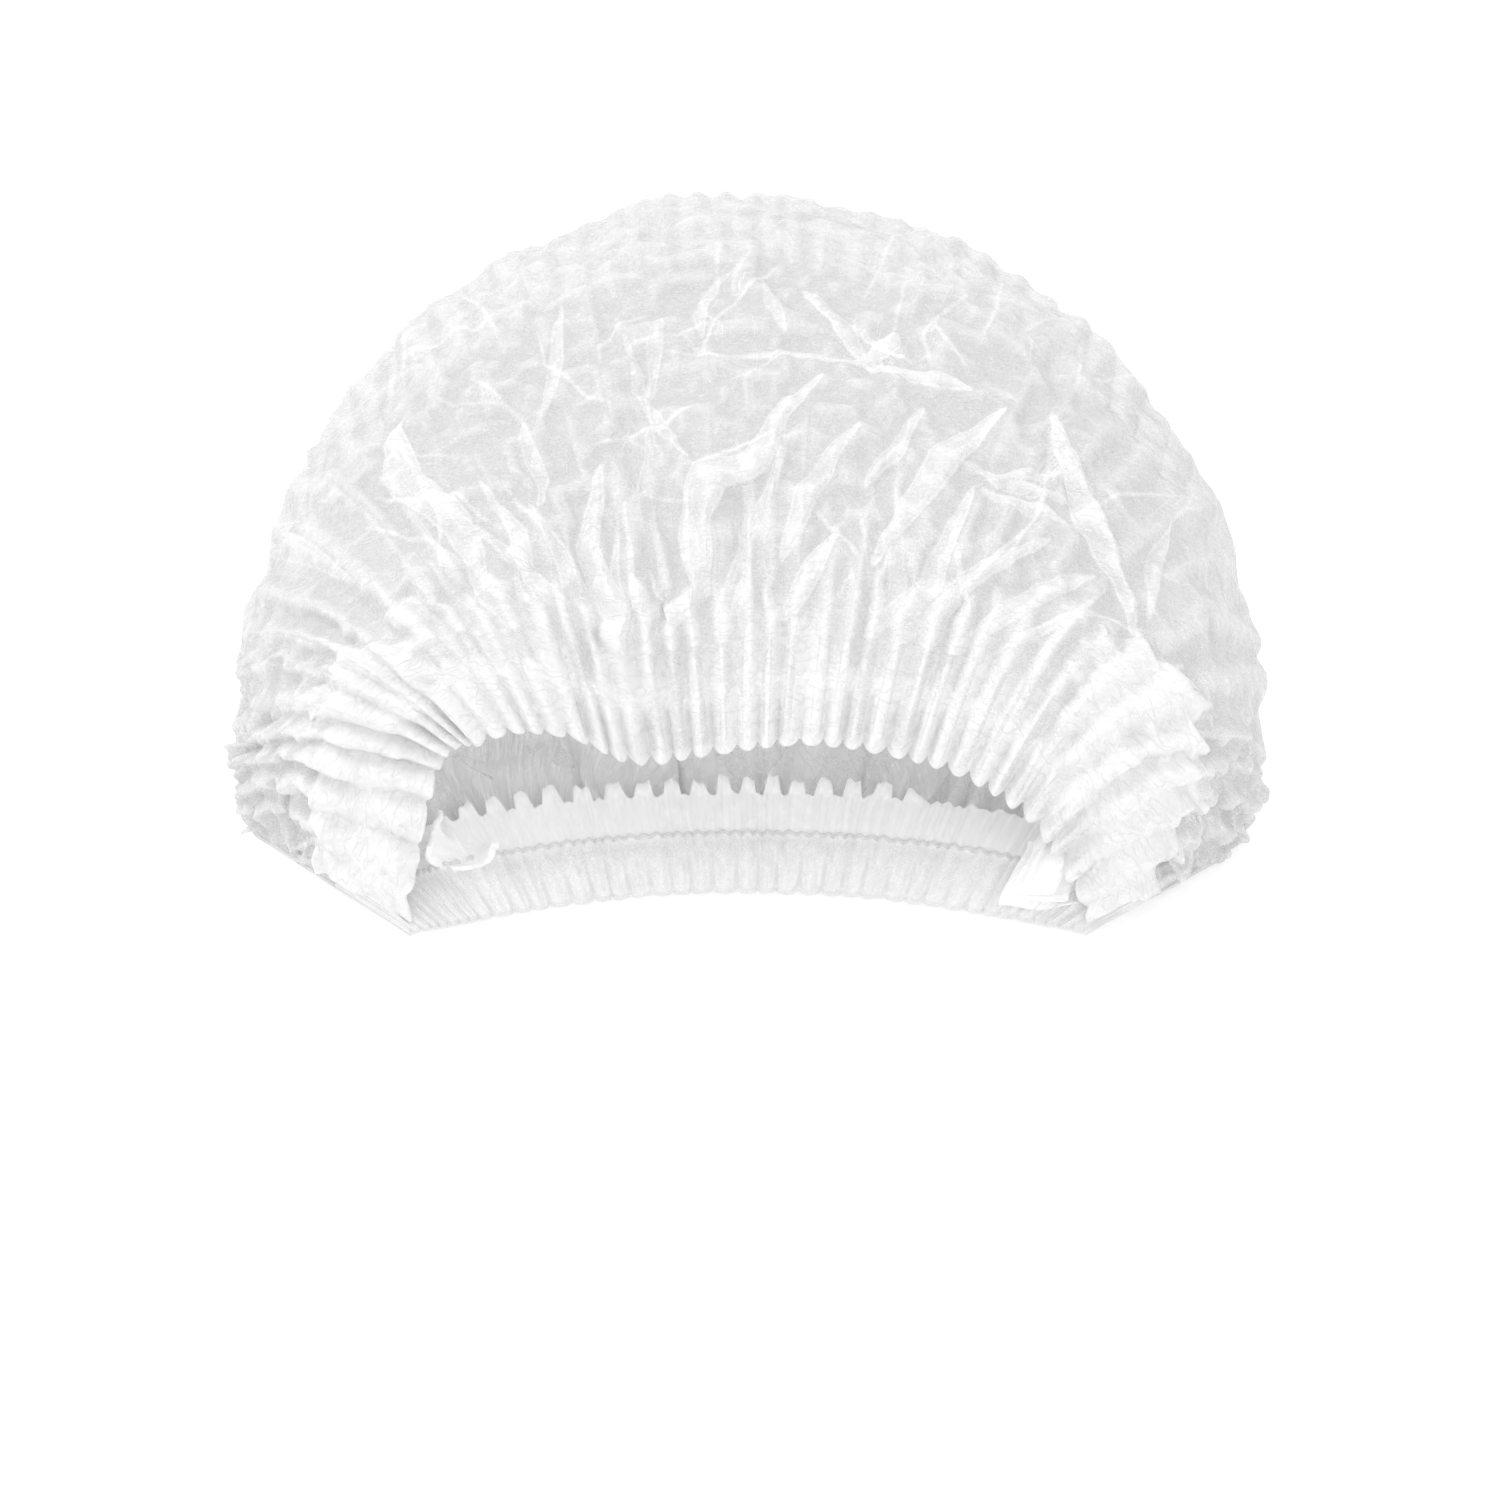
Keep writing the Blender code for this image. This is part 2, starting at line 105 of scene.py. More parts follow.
# Gathers along both rims
GATHER_UNEVENNESS = 0.18
EVEN_ON_RIM = 0.6
GATHERS_END = 0.03
GATHER_DEPTH = 1.9
GATHER_REACH = 34.0
GATHER_PINCH = 0.35
GATHER_WANDER = 0.25
GATHER_CELLS = (28, 40)
STITCH_AT = 0.55
STITCH_WIDTH = 0.14
STITCH_PINCH = 0.6
LOWER_DEPTH = 2.4
LOWER_REACH = 14.0
RIM_PRESSED = 0.7
LOWER_RIM_REACH = 5.0

# The hems' two layers, and the scallop that each gather makes in the rim
HEM_LAYERS_APART = 1.6
APART_AT_GATHERS = 0.1
SCALLOP_OUT = 2.4
LOWER_SCALLOP_OUT = 3.2
SCALLOP_ROWS = 4.0

# The lower hem's inner layer with its fine ribs, the painted shade in the clefts between its
# scallops, and its ruffled cut edge
LOWER_ENDS = 0.1
LOWER_HEIGHT = 3.9
RIB_DEPTH = 0.35
RIB_FINE = 0.8
RIB_UNEVEN = 0.2
FINE_RIB_CELLS = (30, 40)
UNEVEN_RIB_CELLS = (30, 5)
LAYER_GAP = 0.35
CLEFT_SHADE_WIDTH = 0.4
CLEFT_SHADE_LENGTH = 4.0
TAB_COUNT = 31
TAB_LENGTH = 3.8
TABS_END = 0.58
TABS_SHIFT = 0.14
TAB_RISE = 1.6
TAB_ROWS = 6
HEM_ROW_LENGTH = 1.25

# White strips of doubled cloth up the upper hem
STRIP_UNEVENNESS = 5.0
STRIP_ROUND = 6.0
STRIP_LEAN = 0.35
STRIP_CELLS = (14, 8)
STRIP_EDGE = 0.2
STRIP_WHITE = 0.9
TUBES_END = -0.3
RIM_WHITE = 0.75
RIM_LINE = 0.9

# The crown's outline, scalloped by the gathers that reach it
SCALLOPS = 52
SCALLOP_DEPTH = 2.0
SCALLOP_REACH = 26.0
SCALLOP_CELLS = (60, 18)

# The folds that show most on the crown
MAIN_FOLDS = (
    Fold(5, 4, 0.8, ((-96, 133), (-87, 105), (-73, 90), (-67, 70), (-60, 61))),
    Fold(5, 5, 0.9, ((20, 135), (9, 119), (3, 103), (-8, 99), (-12, 85), (-11, 71), (-24, 60))),
    Fold(3, 3, 0.7, ((31, 139), (15, 167))),
    Fold(3, 3, 0.8, ((31, 139), (40, 152))),
    Fold(3, 3, 0.8, ((31, 139), (59, 131))),
    Fold(0.8, 2, 0.6, ((31, 139), (9, 142), (-15, 140))),
    Fold(3, 4, 0.9, ((-38, 105), (-40, 80), (-33, 67), (-33, 48))),
    Fold(4, 4, 0.9, ((68, 126), (55, 108), (44, 91), (32, 76))),
    Fold(3, 3, 0.7, ((59, 99), (50, 76), (48, 69), (29, 60))),
    Fold(4, 5, 1.0, ((80, 125), (87, 107), (93, 88), (100, 72), (101, 62))),
    Fold(2, 2, 0.7, ((59, 103), (82, 105))),
    Fold(2, 2, 0.7, ((61, 102), (84, 97))),
    Fold(2, 2, 0.7, ((60, 99), (91, 87))),
    Fold(2, 3, 0.7, ((112, 98), (104, 67))),
    Fold(3, 3, 0.7, ((29, 117), (16, 94), (9, 78))),
    Fold(3, 3, 0.7, ((23, 84), (12, 67), (5, 64))),
    Fold(3, 3, 0.7, ((47, 124), (40, 108), (30, 98))),
    Fold(3, 3, 0.7, ((78, 84), (58, 71), (37, 57))),
    Fold(3, 3, 0.7, ((90, 76), (68, 63), (50, 54))),
    Fold(2, 2, 0.6, ((-70, 101), (-58, 85), (-55, 73), (-45, 67))),
    Fold(2, 2, 0.6, ((-60, 120), (-53, 101), (-55, 93))),
    Fold(2, 2, 0.6, ((-50, 162), (-50, 133), (-54, 119))),
    Fold(2, 2, 0.6, ((-33, 149), (-25, 122), (-16, 104))),
    Fold(2, 2, 0.5, ((-23, 155), (-25, 128))),
    Fold(2, 2, 0.6, ((-8, 170), (-12, 157), (-12, 147))),
    Fold(2, 2, 0.6, ((4, 171), (10, 148))),
    Fold(3, 2, 0.5, ((-130, 109), (-103, 78))),
)

# Smaller folds, placed by chance, and the corners' hubs with first and last direction in degrees
GATHER_FOLDS = 96
STRAY_FOLDS = 46
BACK_FOLDS = 30
CORNER_FOLDS = 17
CORNERS = (((-90, 22), 95, 262), ((90, 22), 85, -82))
ROW_LENGTH = 1.7
COLUMNS_PER_MM = 1.8

# How a folded band lies: to one side of its way, and widest at a place that differs
FLAP_SHIFT = 0.5
BAND_FULLNESS = 0.6
WIDEST_FROM = 0.3
WIDEST_RANGE = 0.4
GOLDEN_SHARE = 0.618
EDGE_SOFT = 1.2
FOLD_RISE = 0.6
FIELD_REACH = 6.0

# How a folded band and a crease look
BAND_EDGE = 0.2
BAND_WHITE = 0.52
LINE_WIDTH = 0.6
LINE_WHITE = 0.7
CREASE_LINE_WIDTH = 0.9
CREASE_LINE_WHITE = 0.9

# Where many layers lie together: middle, reach along x and y, how white, and its pleat ends
DENSE = (
    (-97, 50, 15, 12, 0.95, 7),
    (-103, 27, 13, 22, 1.0, 11),
    (99, 38, 19, 24, 0.9, 13),
    (-33, 50, 8, 15, 0.55, 0),
)
JAG = 0.24
JAG_SHARP = 5.0
DENSE_RISE = 2.0

# Cloth simulation of the crown, and the uneven sheet that it starts from
SIM_FRAMES = 16
SIM_QUALITY = 5
SIM_MASS = 0.1
SIM_STIFFNESS = 15.0
SIM_SHEAR = 5.0
SIM_BENDING = 2.0
SIM_DAMPING = 1.0
SIM_GROWTH = 0.05
SIM_HOLD = 0.35
SIM_EDGE_HOLD = 0.8
SIM_REACH = 6.0
START_NOISE = 1.2
HILL_CELLS = (16, 12)
CORNER_RUFFLE = 1.6
RUFFLE_CELLS = (9, 5)

# The elastics, over this stretch of the hems' columns
ELASTIC_WIDTH = 1.2
ELASTIC_THICKNESS = 0.4
ELASTIC_SPAN = (0.08, 0.92)
LOWER_ELASTIC_LIFT = 0.3
UPPER_ELASTIC_LIFT = -0.5

# The sealed ends: profile lines as the solids have them, seen along the mouth
CURL_ROWS = 40
CURL_LENGTH = 0.185
CURL_HEIGHT = 0.28
CURL = {
    "across": (0.0, 1.0, 2.0, 3.0, 4.0, 5.0, 6.0),
    "along": (0.06, 0.0, 0.12, 0.42, 0.76, 0.98, 1.0),
    "up": (1.0, 0.5, 0.1, 0.0, 0.12, 0.5, 0.86),
}
STACK_ROWS = 120
STACK_TURN_ROWS = 7
STACK_LENGTH = 0.23
STACK_HEIGHT = 0.24
STACK_TURNS = (1.0, 0.0, 0.86, 0.14, 0.72, 0.26)

# How each profile is swept into a strip: the slope in radians, the rest in millimetres or shares
SWEPT_COLUMNS = 24
CURL_STRIP = {
    "origin": (-84.6, 21.0, 5.7),
    "width": 11.0,
    "slope": 0.0,
    "lean": 0.25,
    "narrowed": 0.8,
    "ruffle": 0.5,
    "thickness": 1.5,
}
STACK_STRIP = {
    "origin": (65.3, 10.5, 5.2),
    "width": 17.0,
    "slope": 0.21,
    "lean": 0.55,
    "narrowed": 0.0,
    "ruffle": 0.8,
    "thickness": 0.7,
}

# How white the cloth is from place to place, from 0 to 1
UPPER_DOUBLED = 0.56
SEAM_FADE = 2.0
BACK_DOUBLED = 0.25
# Painted shade on the lower hem: its inner layer is less white towards the rim, and its rim and
# outer layer less white still
LOWER_INNER_WHITE = 1.2
LOWER_RIM_SHADED_WHITE = 0.4
OUTER_LAYER_SHADED_WHITE = 0.15
CREASE_TURN = 0.35

# How the sheet's whiteness adds up, and its tone and see-through from no whiteness to full
CLOTH_NARROWED = (0.65, 1.0, 1.0)
FIBRE_WHITE = 0.5
CRINKLE_WHITE = 0.25
CREASE_WHITE = 0.3
CLOUD_WHITE = 0.05
SHEET_DARK = 0.81
SHEET_LIGHT = 0.96
SHEET_THIN = 0.38
SHEET_THICK = 0.97
# The sheet's glow is painted light: the cloth emits light though it is no lamp
SHEET_PAINTED_GLOW = 0.02
CLOTH_ROUGHNESS = 0.85
CLOTH_SPECULAR = 0.2
CLOTH_SHEEN = 0.15

# The same for the hems, the sealed ends and the elastics
HEM_FIBRE_WHITE = 0.3
# Weight of the whiteness stored on the hems' points, which holds the lower hem's painted shade
HEM_WHITE_AND_SHADE = 0.7
HEM_CLOUD_WHITE = 0.15
HEM_DARK = 0.8
HEM_LIGHT = 0.995
HEM_THIN = 0.7
# The hems' glow is painted light: the cloth emits light though it is no lamp
HEM_PAINTED_GLOW = 0.12
END_DARK = 0.93
END_LIGHT = 0.98
ELASTIC_DARK = 0.72
ELASTIC_LIGHT = 0.92
ELASTIC_ROUGHNESS = 0.7

# Camera, in millimetres of lens, degrees and metres
CAMERA_LENS = 85.0
CAMERA_ELEVATION = 60.0
CAMERA_DISTANCE = 0.963
CAMERA_AIM = (0.0005, -0.0586, 0.0)

# Light and ground: each lamp's name, place and size in metres, and power in watts
WORLD_STRENGTH = 0.94
LIGHTS = (
    ("key", (-0.9, 0.5, 1.3), 0.9, 8.0),
    ("fill", (0.7, -0.9, 1.4), 1.4, 3.5),
)
FLOOR_SIZE = 30.0
FLOOR_TONE = 0.97
FLOOR_GLOW = 0.15


def between(limits, share):
    """The value at a share of the way from the first limit to the second."""
    return limits[0] + (limits[1] - limits[0]) * share


def faded(values):
    """Values cut to the range from 0 to 1."""
    return np.clip(values, 0, 1)


def unit(vectors):
    return vectors / np.maximum(np.linalg.norm(vectors, axis=-1, keepdims=True), 1e-9)


def normals_of(grid):
    return unit(np.cross(np.gradient(grid, axis=1), np.gradient(grid, axis=0)))


def run_of(points):
    """How far each point lies along its line of points."""
    steps = np.linalg.norm(np.diff(points, axis=0), axis=-1)
    return np.concatenate([np.zeros((1,) + steps.shape[1:]), np.cumsum(steps, axis=0)])


def smooth_table(table, column, at):
    """The column of a table at places across it, on a smooth curve through its rows."""
    across = np.array(table["across"])
    values = np.array(table[column])
    slopes = np.gradient(values, across)
    at = np.clip(at, across[0], across[-1])
    row = np.clip(np.searchsorted(across, at, side="right") - 1, 0, len(across) - 2)
    step = across[row + 1] - across[row]
    t = (at - across[row]) / step
    start = values[row] * (1 + 2 * t) + slopes[row] * step * t
    finish = values[row + 1] * (3 - 2 * t) + slopes[row + 1] * step * (t - 1)
    return start * (1 - t) ** 2 + finish * t**2


def smooth_noise(shape, cell, random):
    """Random hills with cells of so many rows and columns, between about -1 and 1."""
    rows = np.arange(shape[0]) / cell[0]
    columns = np.arange(shape[1]) / cell[1]
    corners = random.standard_normal((int(rows[-1]) + 3, int(columns[-1]) + 3))

    def eased(values):
        part = values - np.floor(values)
        return np.floor(values).astype(int), part * part * (3 - 2 * part)

    low_row, row_part = eased(rows)
    low_column, column_part = eased(columns)
    row_part = row_part[:, None]
    upper = corners[low_row][:, low_column] * (1 - column_part)
    upper = upper + corners[low_row][:, low_column + 1] * column_part
    lower = corners[low_row + 1][:, low_column] * (1 - column_part)
    lower = lower + corners[low_row + 1][:, low_column + 1] * column_part
    return upper * (1 - row_part) + lower * row_part


def signed_power(value, power):
    return np.sign(value) * np.abs(value) ** power


def outline(across):
    """The cap's outline in plan, a rounder oval behind and a squarer one in front."""
    fan_end = np.where(across < 0, FAN_END_LEFT, FAN_END_RIGHT)
    angle = np.radians(FAN_LINEAR * across + (fan_end - FAN_LINEAR) * across**3)
    power = np.where(np.cos(angle) > 0, BACK_POWER, FRONT_POWER)
    reach = np.where(np.cos(angle) > 0, BACK_REACH, FRONT_REACH)
    x = HALF_WIDTH * signed_power(np.sin(angle), 2 / power)
    y = reach * signed_power(np.cos(angle), 2 / power)
    return np.stack([x, y + FRONT_REACH], axis=-1)


def lower_rim_y(across):
    return RIM_FRONT - RIM_BOW * across**2


def upper_rim(across):
    x = HALF_MOUTH * across
    y = lower_rim_y(across) + MOUTH_SETBACK * smooth_table(UPPER_RIM, "setback", across)
    z = MOUTH_HEIGHT * smooth_table(UPPER_RIM, "height", across)
    return np.stack([x, y, z], axis=-1)


def fold_height(across):
    """Height of the fold at the outline, which is pressed flat towards the front."""
    return FOLD_RADIUS * (1 - FOLD_PRESSED * np.abs(across) ** 3)


def top_paths(across):
    """The sheet's ways from the upper rim over the crest to the outline."""
    share = np.linspace(0, 1, PATH_SAMPLES)[:, None]
    rim = upper_rim(across)
    edge = outline(across)
    crest = PUFF_HEIGHT * smooth_table(CREST, "height", across)
    crest = np.maximum(crest, rim[:, 2])
    low = fold_height(across)
    climb = np.sin(faded(share / CREST_AT) * math.pi / 2)
    fall = faded((share - CREST_AT) / (1 - CREST_AT))
    rising = rim[:, 2] + (crest - rim[:, 2]) * climb
    falling = low + (crest - low) * np.sqrt(1 - fall**CREST_ROUNDNESS)
    z = np.where(share < CREST_AT, rising, falling)
    plan = np.sin(share * math.pi / 2)
    xy = rim[:, :2] + (edge - rim[:, :2]) * plan[..., None]
    z = np.stack([np.interp(plan[:, 0], share[:, 0], column) for column in z.T], axis=-1)
    return np.concatenate([xy, z[..., None]], axis=-1)


def under_paths(across):
    """The sheet's ways round the outline's fold and along the ground to the lower rim."""
    low_z = np.full_like(across, UNDER_HEIGHT)
    rim = np.stack([HALF_MOUTH * across, lower_rim_y(across), low_z], axis=-1)
    edge = outline(across)
    low = fold_height(across)
    away = edge - rim[:, :2]
    length = np.linalg.norm(away, axis=-1)
    roll = np.minimum(low - UNDER_HEIGHT, length / 2)
    turn = np.linspace(0, math.pi / 2, PATH_SAMPLES // 4)[:, None]
    inward = roll * (1 - np.cos(turn))
    rolled_xy = edge - away * (inward / length)[..., None]
    rolled_z = low - (low - UNDER_HEIGHT) * np.sin(turn)
    rolled = np.concatenate([rolled_xy, rolled_z[..., None]], axis=-1)
    share = np.linspace(0, 1, PATH_SAMPLES)[1:, None, None]
    flat = rolled[-1] + (rim - rolled[-1]) * share
    return np.concatenate([rolled, flat], axis=0), len(rolled) - 1


def points_at(paths, lengths):
    """Points of each path at the given lengths along it."""
    run = run_of(paths)
    columns = []
    for column in range(paths.shape[1]):
        axes = [
            np.interp(lengths[:, column], run[:, column], paths[:, column, axis])
            for axis in range(3)
        ]
        columns.append(np.stack(axes, axis=-1))
    return np.stack(columns, axis=1)


def gather_columns():
    """Each column's place across the mouth, from -1 to 1, and its phase in the gathers."""
    widths = 1 + GATHER_UNEVENNESS * np.sin(1.7 * np.arange(GATHERS))
    edges = np.concatenate([[0.0], np.cumsum(widths)])
    gather = np.linspace(0, GATHERS, GATHERS * COLUMNS_PER_GATHER + 1)
    share = np.interp(gather, np.arange(GATHERS + 1), edges / edges[-1])
    fine = np.linspace(-1, 1, RIM_SAMPLES)
    length = run_of(upper_rim(fine))
    even = np.interp(share * length[-1], length, fine)
    across = EVEN_ON_RIM * even + (1 - EVEN_ON_RIM) * (share * 2 - 1)
    return across, gather * 2 * math.pi


def sheet_rows():
    """The smooth sheet as one grid, and what the later steps need to know of each point."""
    across, phase = gather_columns()
    top = top_paths(across)
    under, roll_end = under_paths(across)
    top_run = run_of(top)[-1]
    under_run = run_of(under)
    top_hem = np.minimum(HEM_WIDTH, HEM_SHARE_AT_ENDS * top_run)
    under_hem = np.minimum(HEM_WIDTH, HEM_SHARE_AT_ENDS * under_run[-1])
    top_trim = UPPER_TRIM * (1 - across**2)
    under_trim = LOWER_TRIM * (1 - across**2)
    roll = under_run[roll_end]
    flat = under_run[-1] - under_hem - roll

    def shares(rows, first=1):
        return np.linspace(0, 1, rows + 1)[first:, None]

    top_lengths = np.concatenate(
        [
            top_trim + shares(HEM_ROWS, 0) * (top_hem - top_trim),
            top_hem + shares(TOP_ROWS) * (top_run - top_hem),
        ]
    )
    under_lengths = np.concatenate(
        [
            shares(ROLL_ROWS) * roll,
            roll + shares(UNDER_ROWS) * flat,
            roll + flat + shares(HEM_ROWS) * (under_hem - under_trim),
        ]
    )
    grid = np.concatenate([points_at(top, top_lengths), points_at(under, under_lengths)])
    run = np.concatenate([top_lengths, top_run + under_lengths]) - top_trim
    edge = HEM_ROWS + TOP_ROWS
    upper_hem = top_hem - top_trim
    return SimpleNamespace(
        grid=grid,
        normal=normals_of(grid),
        run=run,
        across=across,
        phase=phase,
        flat_u=phase / phase[-1] * FLAT_WIDTH,
        seam=HEM_ROWS,
        edge=edge,
        back_seam=edge + ROLL_ROWS + UNDER_ROWS,
        upper_hem=upper_hem,
        lower_hem=under_hem - under_trim,
        on_top=np.arange(len(grid))[:, None] <= edge,
        beyond_hem=faded((run - upper_hem) / FREE_AFTER),
        in_corner=faded((np.abs(across) - CORNER_FROM) / CORNER_FADE),
    )


def gather_wave(sheet, random):
    """Rise of the gathers from both rims, in millimetres, and their strength from 0 to 1."""
    phase = sheet.phase
    ends = faded((1 - np.abs(sheet.across)) / GATHERS_END)
    number = np.clip((phase / (2 * math.pi)).astype(int), 0, GATHERS - 1)
    size = (0.8 + 0.45 * random.random(GATHERS))[number]
    reach = (GATHER_REACH * (1 + 0.5 * random.random(GATHERS)))[number]
    total = sheet.run[-1]
    from_upper = sheet.run - sheet.upper_hem
    from_lower = total - sheet.lower_hem - sheet.run
    near = np.where(from_upper < 0, 1, np.exp(-np.maximum(from_upper, 0) / reach))
    far = np.where(from_lower < 0, 1, np.exp(-np.maximum(from_lower, 0) / LOWER_REACH))
    up_hem = faded(sheet.run / sheet.upper_hem)
    stitched = 1 - STITCH_PINCH * np.exp(-(((up_hem - STITCH_AT) / STITCH_WIDTH) ** 2))
    wander = GATHER_WANDER * smooth_noise(sheet.run.shape, GATHER_CELLS, random)
    wave = np.cos(phase[None, :] + wander * near)
    pressed = 1 - RIM_PRESSED * np.exp(-(((total - sheet.run) / LOWER_RIM_REACH) ** 2))
    return SimpleNamespace(
        upper=GATHER_DEPTH * size * wave * near * stitched * ends,
        lower=LOWER_DEPTH * size * (wave + 1) * far * ends * pressed,
        near=near * ends,
        far=far * ends,
    )


def gather_folds(sheet, random):
    """Folds that run up from the gathers."""
    last = sheet.grid.shape[1] - 1
    folds = []
    for number in range(GATHER_FOLDS):
        column = (number + 0.5 + 0.7 * (random.random() - 0.5)) / GATHER_FOLDS * last
        reach = between((14.0, 95.0), random.random() ** 2)
        slant = 0.55 * (random.random() - 0.5)
        first = sheet.seam - int(8 * random.random())
        way = []
        for share in (0.0, 0.35, 0.7, 1.0):
            row = min(int(first + share * reach / ROW_LENGTH), sheet.edge - 4)
            bend = 3.0 * (random.random() - 0.5) * share
            aside = (slant * share * reach + bend) * COLUMNS_PER_MM
            way.append(tuple(sheet.grid[row, int(np.clip(column + aside, 0, last)), :2]))
        half_width = between((1.0, 3.4), random.random())
        white = between((0.35, 0.85), random.random())
        folds.append(Fold(half_width, 0.6 * half_width, white, tuple(way), False))
    return folds


def stray_folds(random):
    """Thin kinked creases all over the crown's top, most of them running up from the mouth."""
    folds = []
    for _ in range(STRAY_FOLDS):
        x, y = random.uniform(-125, 125), random.uniform(72, 172)
        angle = math.radians(90 - 0.35 * x + 30 * random.standard_normal())
        way = [(x, y)]
        for _ in range(3):
            angle += 0.4 * random.standard_normal()
            step = between((5, 18), random.random())
            x, y = x + step * math.cos(angle), y + step * math.sin(angle)
            way.append((x, y))
        half_width = between((0.4, 2.2), random.random() ** 3)
        white = between((0.3, 0.8), random.random())
        folds.append(Fold(half_width, 0.0, white, tuple(way)))
    return folds


def corner_folds(random):
    """Folds that spread from where the hems end at the mouth's corners."""
    folds = []
    for hub, first, last in CORNERS:
        for number in range(CORNER_FOLDS):
            angle = math.radians(between((first, last), (number + random.random()) / CORNER_FOLDS))
            start = between((2, 10), random.random())
            reach = start + between((14, 38), random.random())
            bent = angle + 0.35 * (random.random() - 0.5)
            stations = ((start, angle), ((start + reach) / 2, angle), (reach, bent))
            way = tuple(
                (hub[0] + away * math.cos(toward), hub[1] + away * math.sin(toward))
                for away, toward in stations
            )
            half_width = between((1.2, 3.0), random.random())
            white = between((0.5, 0.9), random.random())
            folds.append(Fold(half_width, half_width, white, way, False))
    return folds


def back_folds(sheet, random):
    """Folds of the back panel that run in from the lower hem."""
    last = sheet.grid.shape[1] - 1
    folds = []
    for _ in range(BACK_FOLDS):
        column = int(random.random() * last)
        far_column = int(np.clip(column + 90 * (random.random() - 0.5), 0, last))
        far_row = sheet.back_seam - int(between((8, 42), random.random()))
        way = (
            tuple(sheet.grid[sheet.back_seam, column, :2]),
            tuple(sheet.grid[far_row, far_column, :2]),
        )
        half_width = between((2, 8), random.random())
        white = between((1.6, 2.2), random.random())
        folds.append(Fold(half_width, 1.0, white, way, False))
    return folds


def along_way(points, way):
    """Distance in plan to one side of a way, and the place along it from 0 to 1."""
    x, y = points[..., 0], points[..., 1]
    way = np.array(way, dtype=float)
    steps = np.linalg.norm(np.diff(way, axis=0), axis=1)
    starts = np.concatenate([[0], np.cumsum(steps)])
    nearest = np.full(x.shape, np.inf)
    side = np.ones(x.shape)
    place = np.zeros(x.shape)
    for start, finish, before, step in zip(way, way[1:], starts, steps):
        toward = (finish - start) / step
        along_x = x - start[0]
        along_y = y - start[1]
        share = faded((along_x * toward[0] + along_y * toward[1]) / step)
        away = np.hypot(along_x - share * step * toward[0], along_y - share * step * toward[1])
        closer = away < nearest
        nearest = np.where(closer, away, nearest)
        side = np.where(closer, np.sign(along_x * toward[1] - along_y * toward[0]), side)
        place = np.where(closer, (before + share * step) / starts[-1], place)
    return nearest * side, place


def folds_over(points, folds):
    """Rise of folded bands, how far inside the nearest band's edge, and how white that band is."""
    rise = np.zeros(points.shape[:2])
    inside = np.full(points.shape[:2], -FIELD_REACH)
    white = np.zeros(points.shape[:2])
    for number, fold in enumerate(folds):
        away, place = along_way(points, fold.way)
        if fold.both_ends:
            widest = WIDEST_FROM + WIDEST_RANGE * (number * GOLDEN_SHARE % 1)
            taper = np.minimum(place / widest, (1 - place) / (1 - widest)) ** BAND_FULLNESS
        else:
            taper = 1 - place
        away = away - FLAP_SHIFT * fold.half_width * taper
        depth = fold.half_width * taper - np.abs(away)
        beside = np.clip(away / fold.half_width, -1, 1)
        bump = FOLD_RISE * fold.rise * faded(depth / EDGE_SOFT) * (0.55 - 0.45 * beside) * taper
        rise = np.where(np.abs(bump) > np.abs(rise), bump, rise)
        nearer = depth > inside
        inside = np.where(nearer, depth, inside)
        white = np.where(nearer, fold.white * (0.8 - 0.2 * beside), white)
    return rise, inside, white


def nearest_crease(points, folds):
    """Distance to one side of the nearest crease, in millimetres, and how white it is there."""
    nearest = np.full(points.shape[:2], FIELD_REACH)
    white = np.zeros(points.shape[:2])
    for fold in folds:
        away, place = along_way(points, fold.way)
        closer = np.abs(away) < np.abs(nearest)
        nearest = np.where(closer, away, nearest)
        fade = faded(np.minimum(place, 1 - place) * 6)
        white = np.where(closer, fold.white * fade, white)
    return nearest, white


def dense(points):
    """Where many layers lie together, with a jagged border of pleat ends, from 0 to 1."""
    total = np.zeros(points.shape[:2])
    for x, y, reach_x, reach_y, amount, teeth in DENSE:
        beside_x = (points[..., 0] - x) / reach_x
        beside_y = (points[..., 1] - y) / reach_y
        angle = np.arctan2(beside_y, beside_x)
        turn = teeth * angle / (2 * math.pi) + 0.3 * np.sin(2 * angle)
        jagged = 1 + JAG * (2 * np.abs(turn - np.floor(turn) - 0.65) - 0.5)
        inside = faded((jagged - np.hypot(beside_x, beside_y)) * JAG_SHARP)
        total = np.maximum(total, amount * inside)
    return total


def crown_folds(sheet, random):
    """Rise of all folds of the top, and the depths and whiteness that draw them."""
    main_rise, main_depth, main_white = folds_over(sheet.grid, MAIN_FOLDS)
    gather_rise, gather_depth, gather_white = folds_over(sheet.grid, gather_folds(sheet, random))
    crease_away, crease_white = nearest_crease(sheet.grid, stray_folds(random))
    corner_rise, corner_depth, corner_white = folds_over(sheet.grid, corner_folds(random))
    layers = dense(sheet.grid) * sheet.on_top
    rise = np.where(np.abs(gather_rise) > np.abs(main_rise), gather_rise, main_rise)
    rise = np.maximum(rise * sheet.beyond_hem, corner_rise * sheet.in_corner)
    corner_white = corner_white * sheet.in_corner * faded(corner_depth / BAND_EDGE)
    free_top = sheet.beyond_hem * sheet.on_top
    return SimpleNamespace(
        rise=rise * sheet.on_top + DENSE_RISE * layers,
        layers=layers,
        corner_white=corner_white,
        main_depth=main_depth,
        main_white=main_white,
        gather_depth=gather_depth,
        gather_white=gather_white * free_top,
        crease_away=crease_away,
        crease_white=crease_white * free_top,
    )


def scallops(sheet, random):
    """Small outward and upward waves where the gathers reach the outline."""
    across = sheet.across
    from_edge = np.abs(sheet.run - sheet.run[sheet.edge])
    strength = np.exp(-((from_edge / SCALLOP_REACH) ** 2))
    wave = np.sin(across * SCALLOPS * math.pi + 2.2 * np.sin(7 * across))
    size = 0.6 + 0.5 * smooth_noise(sheet.run.shape, SCALLOP_CELLS, random)
    back = np.clip(1.35 - np.abs(across), 0.3, 1)
    return SCALLOP_DEPTH * wave * size * strength * back


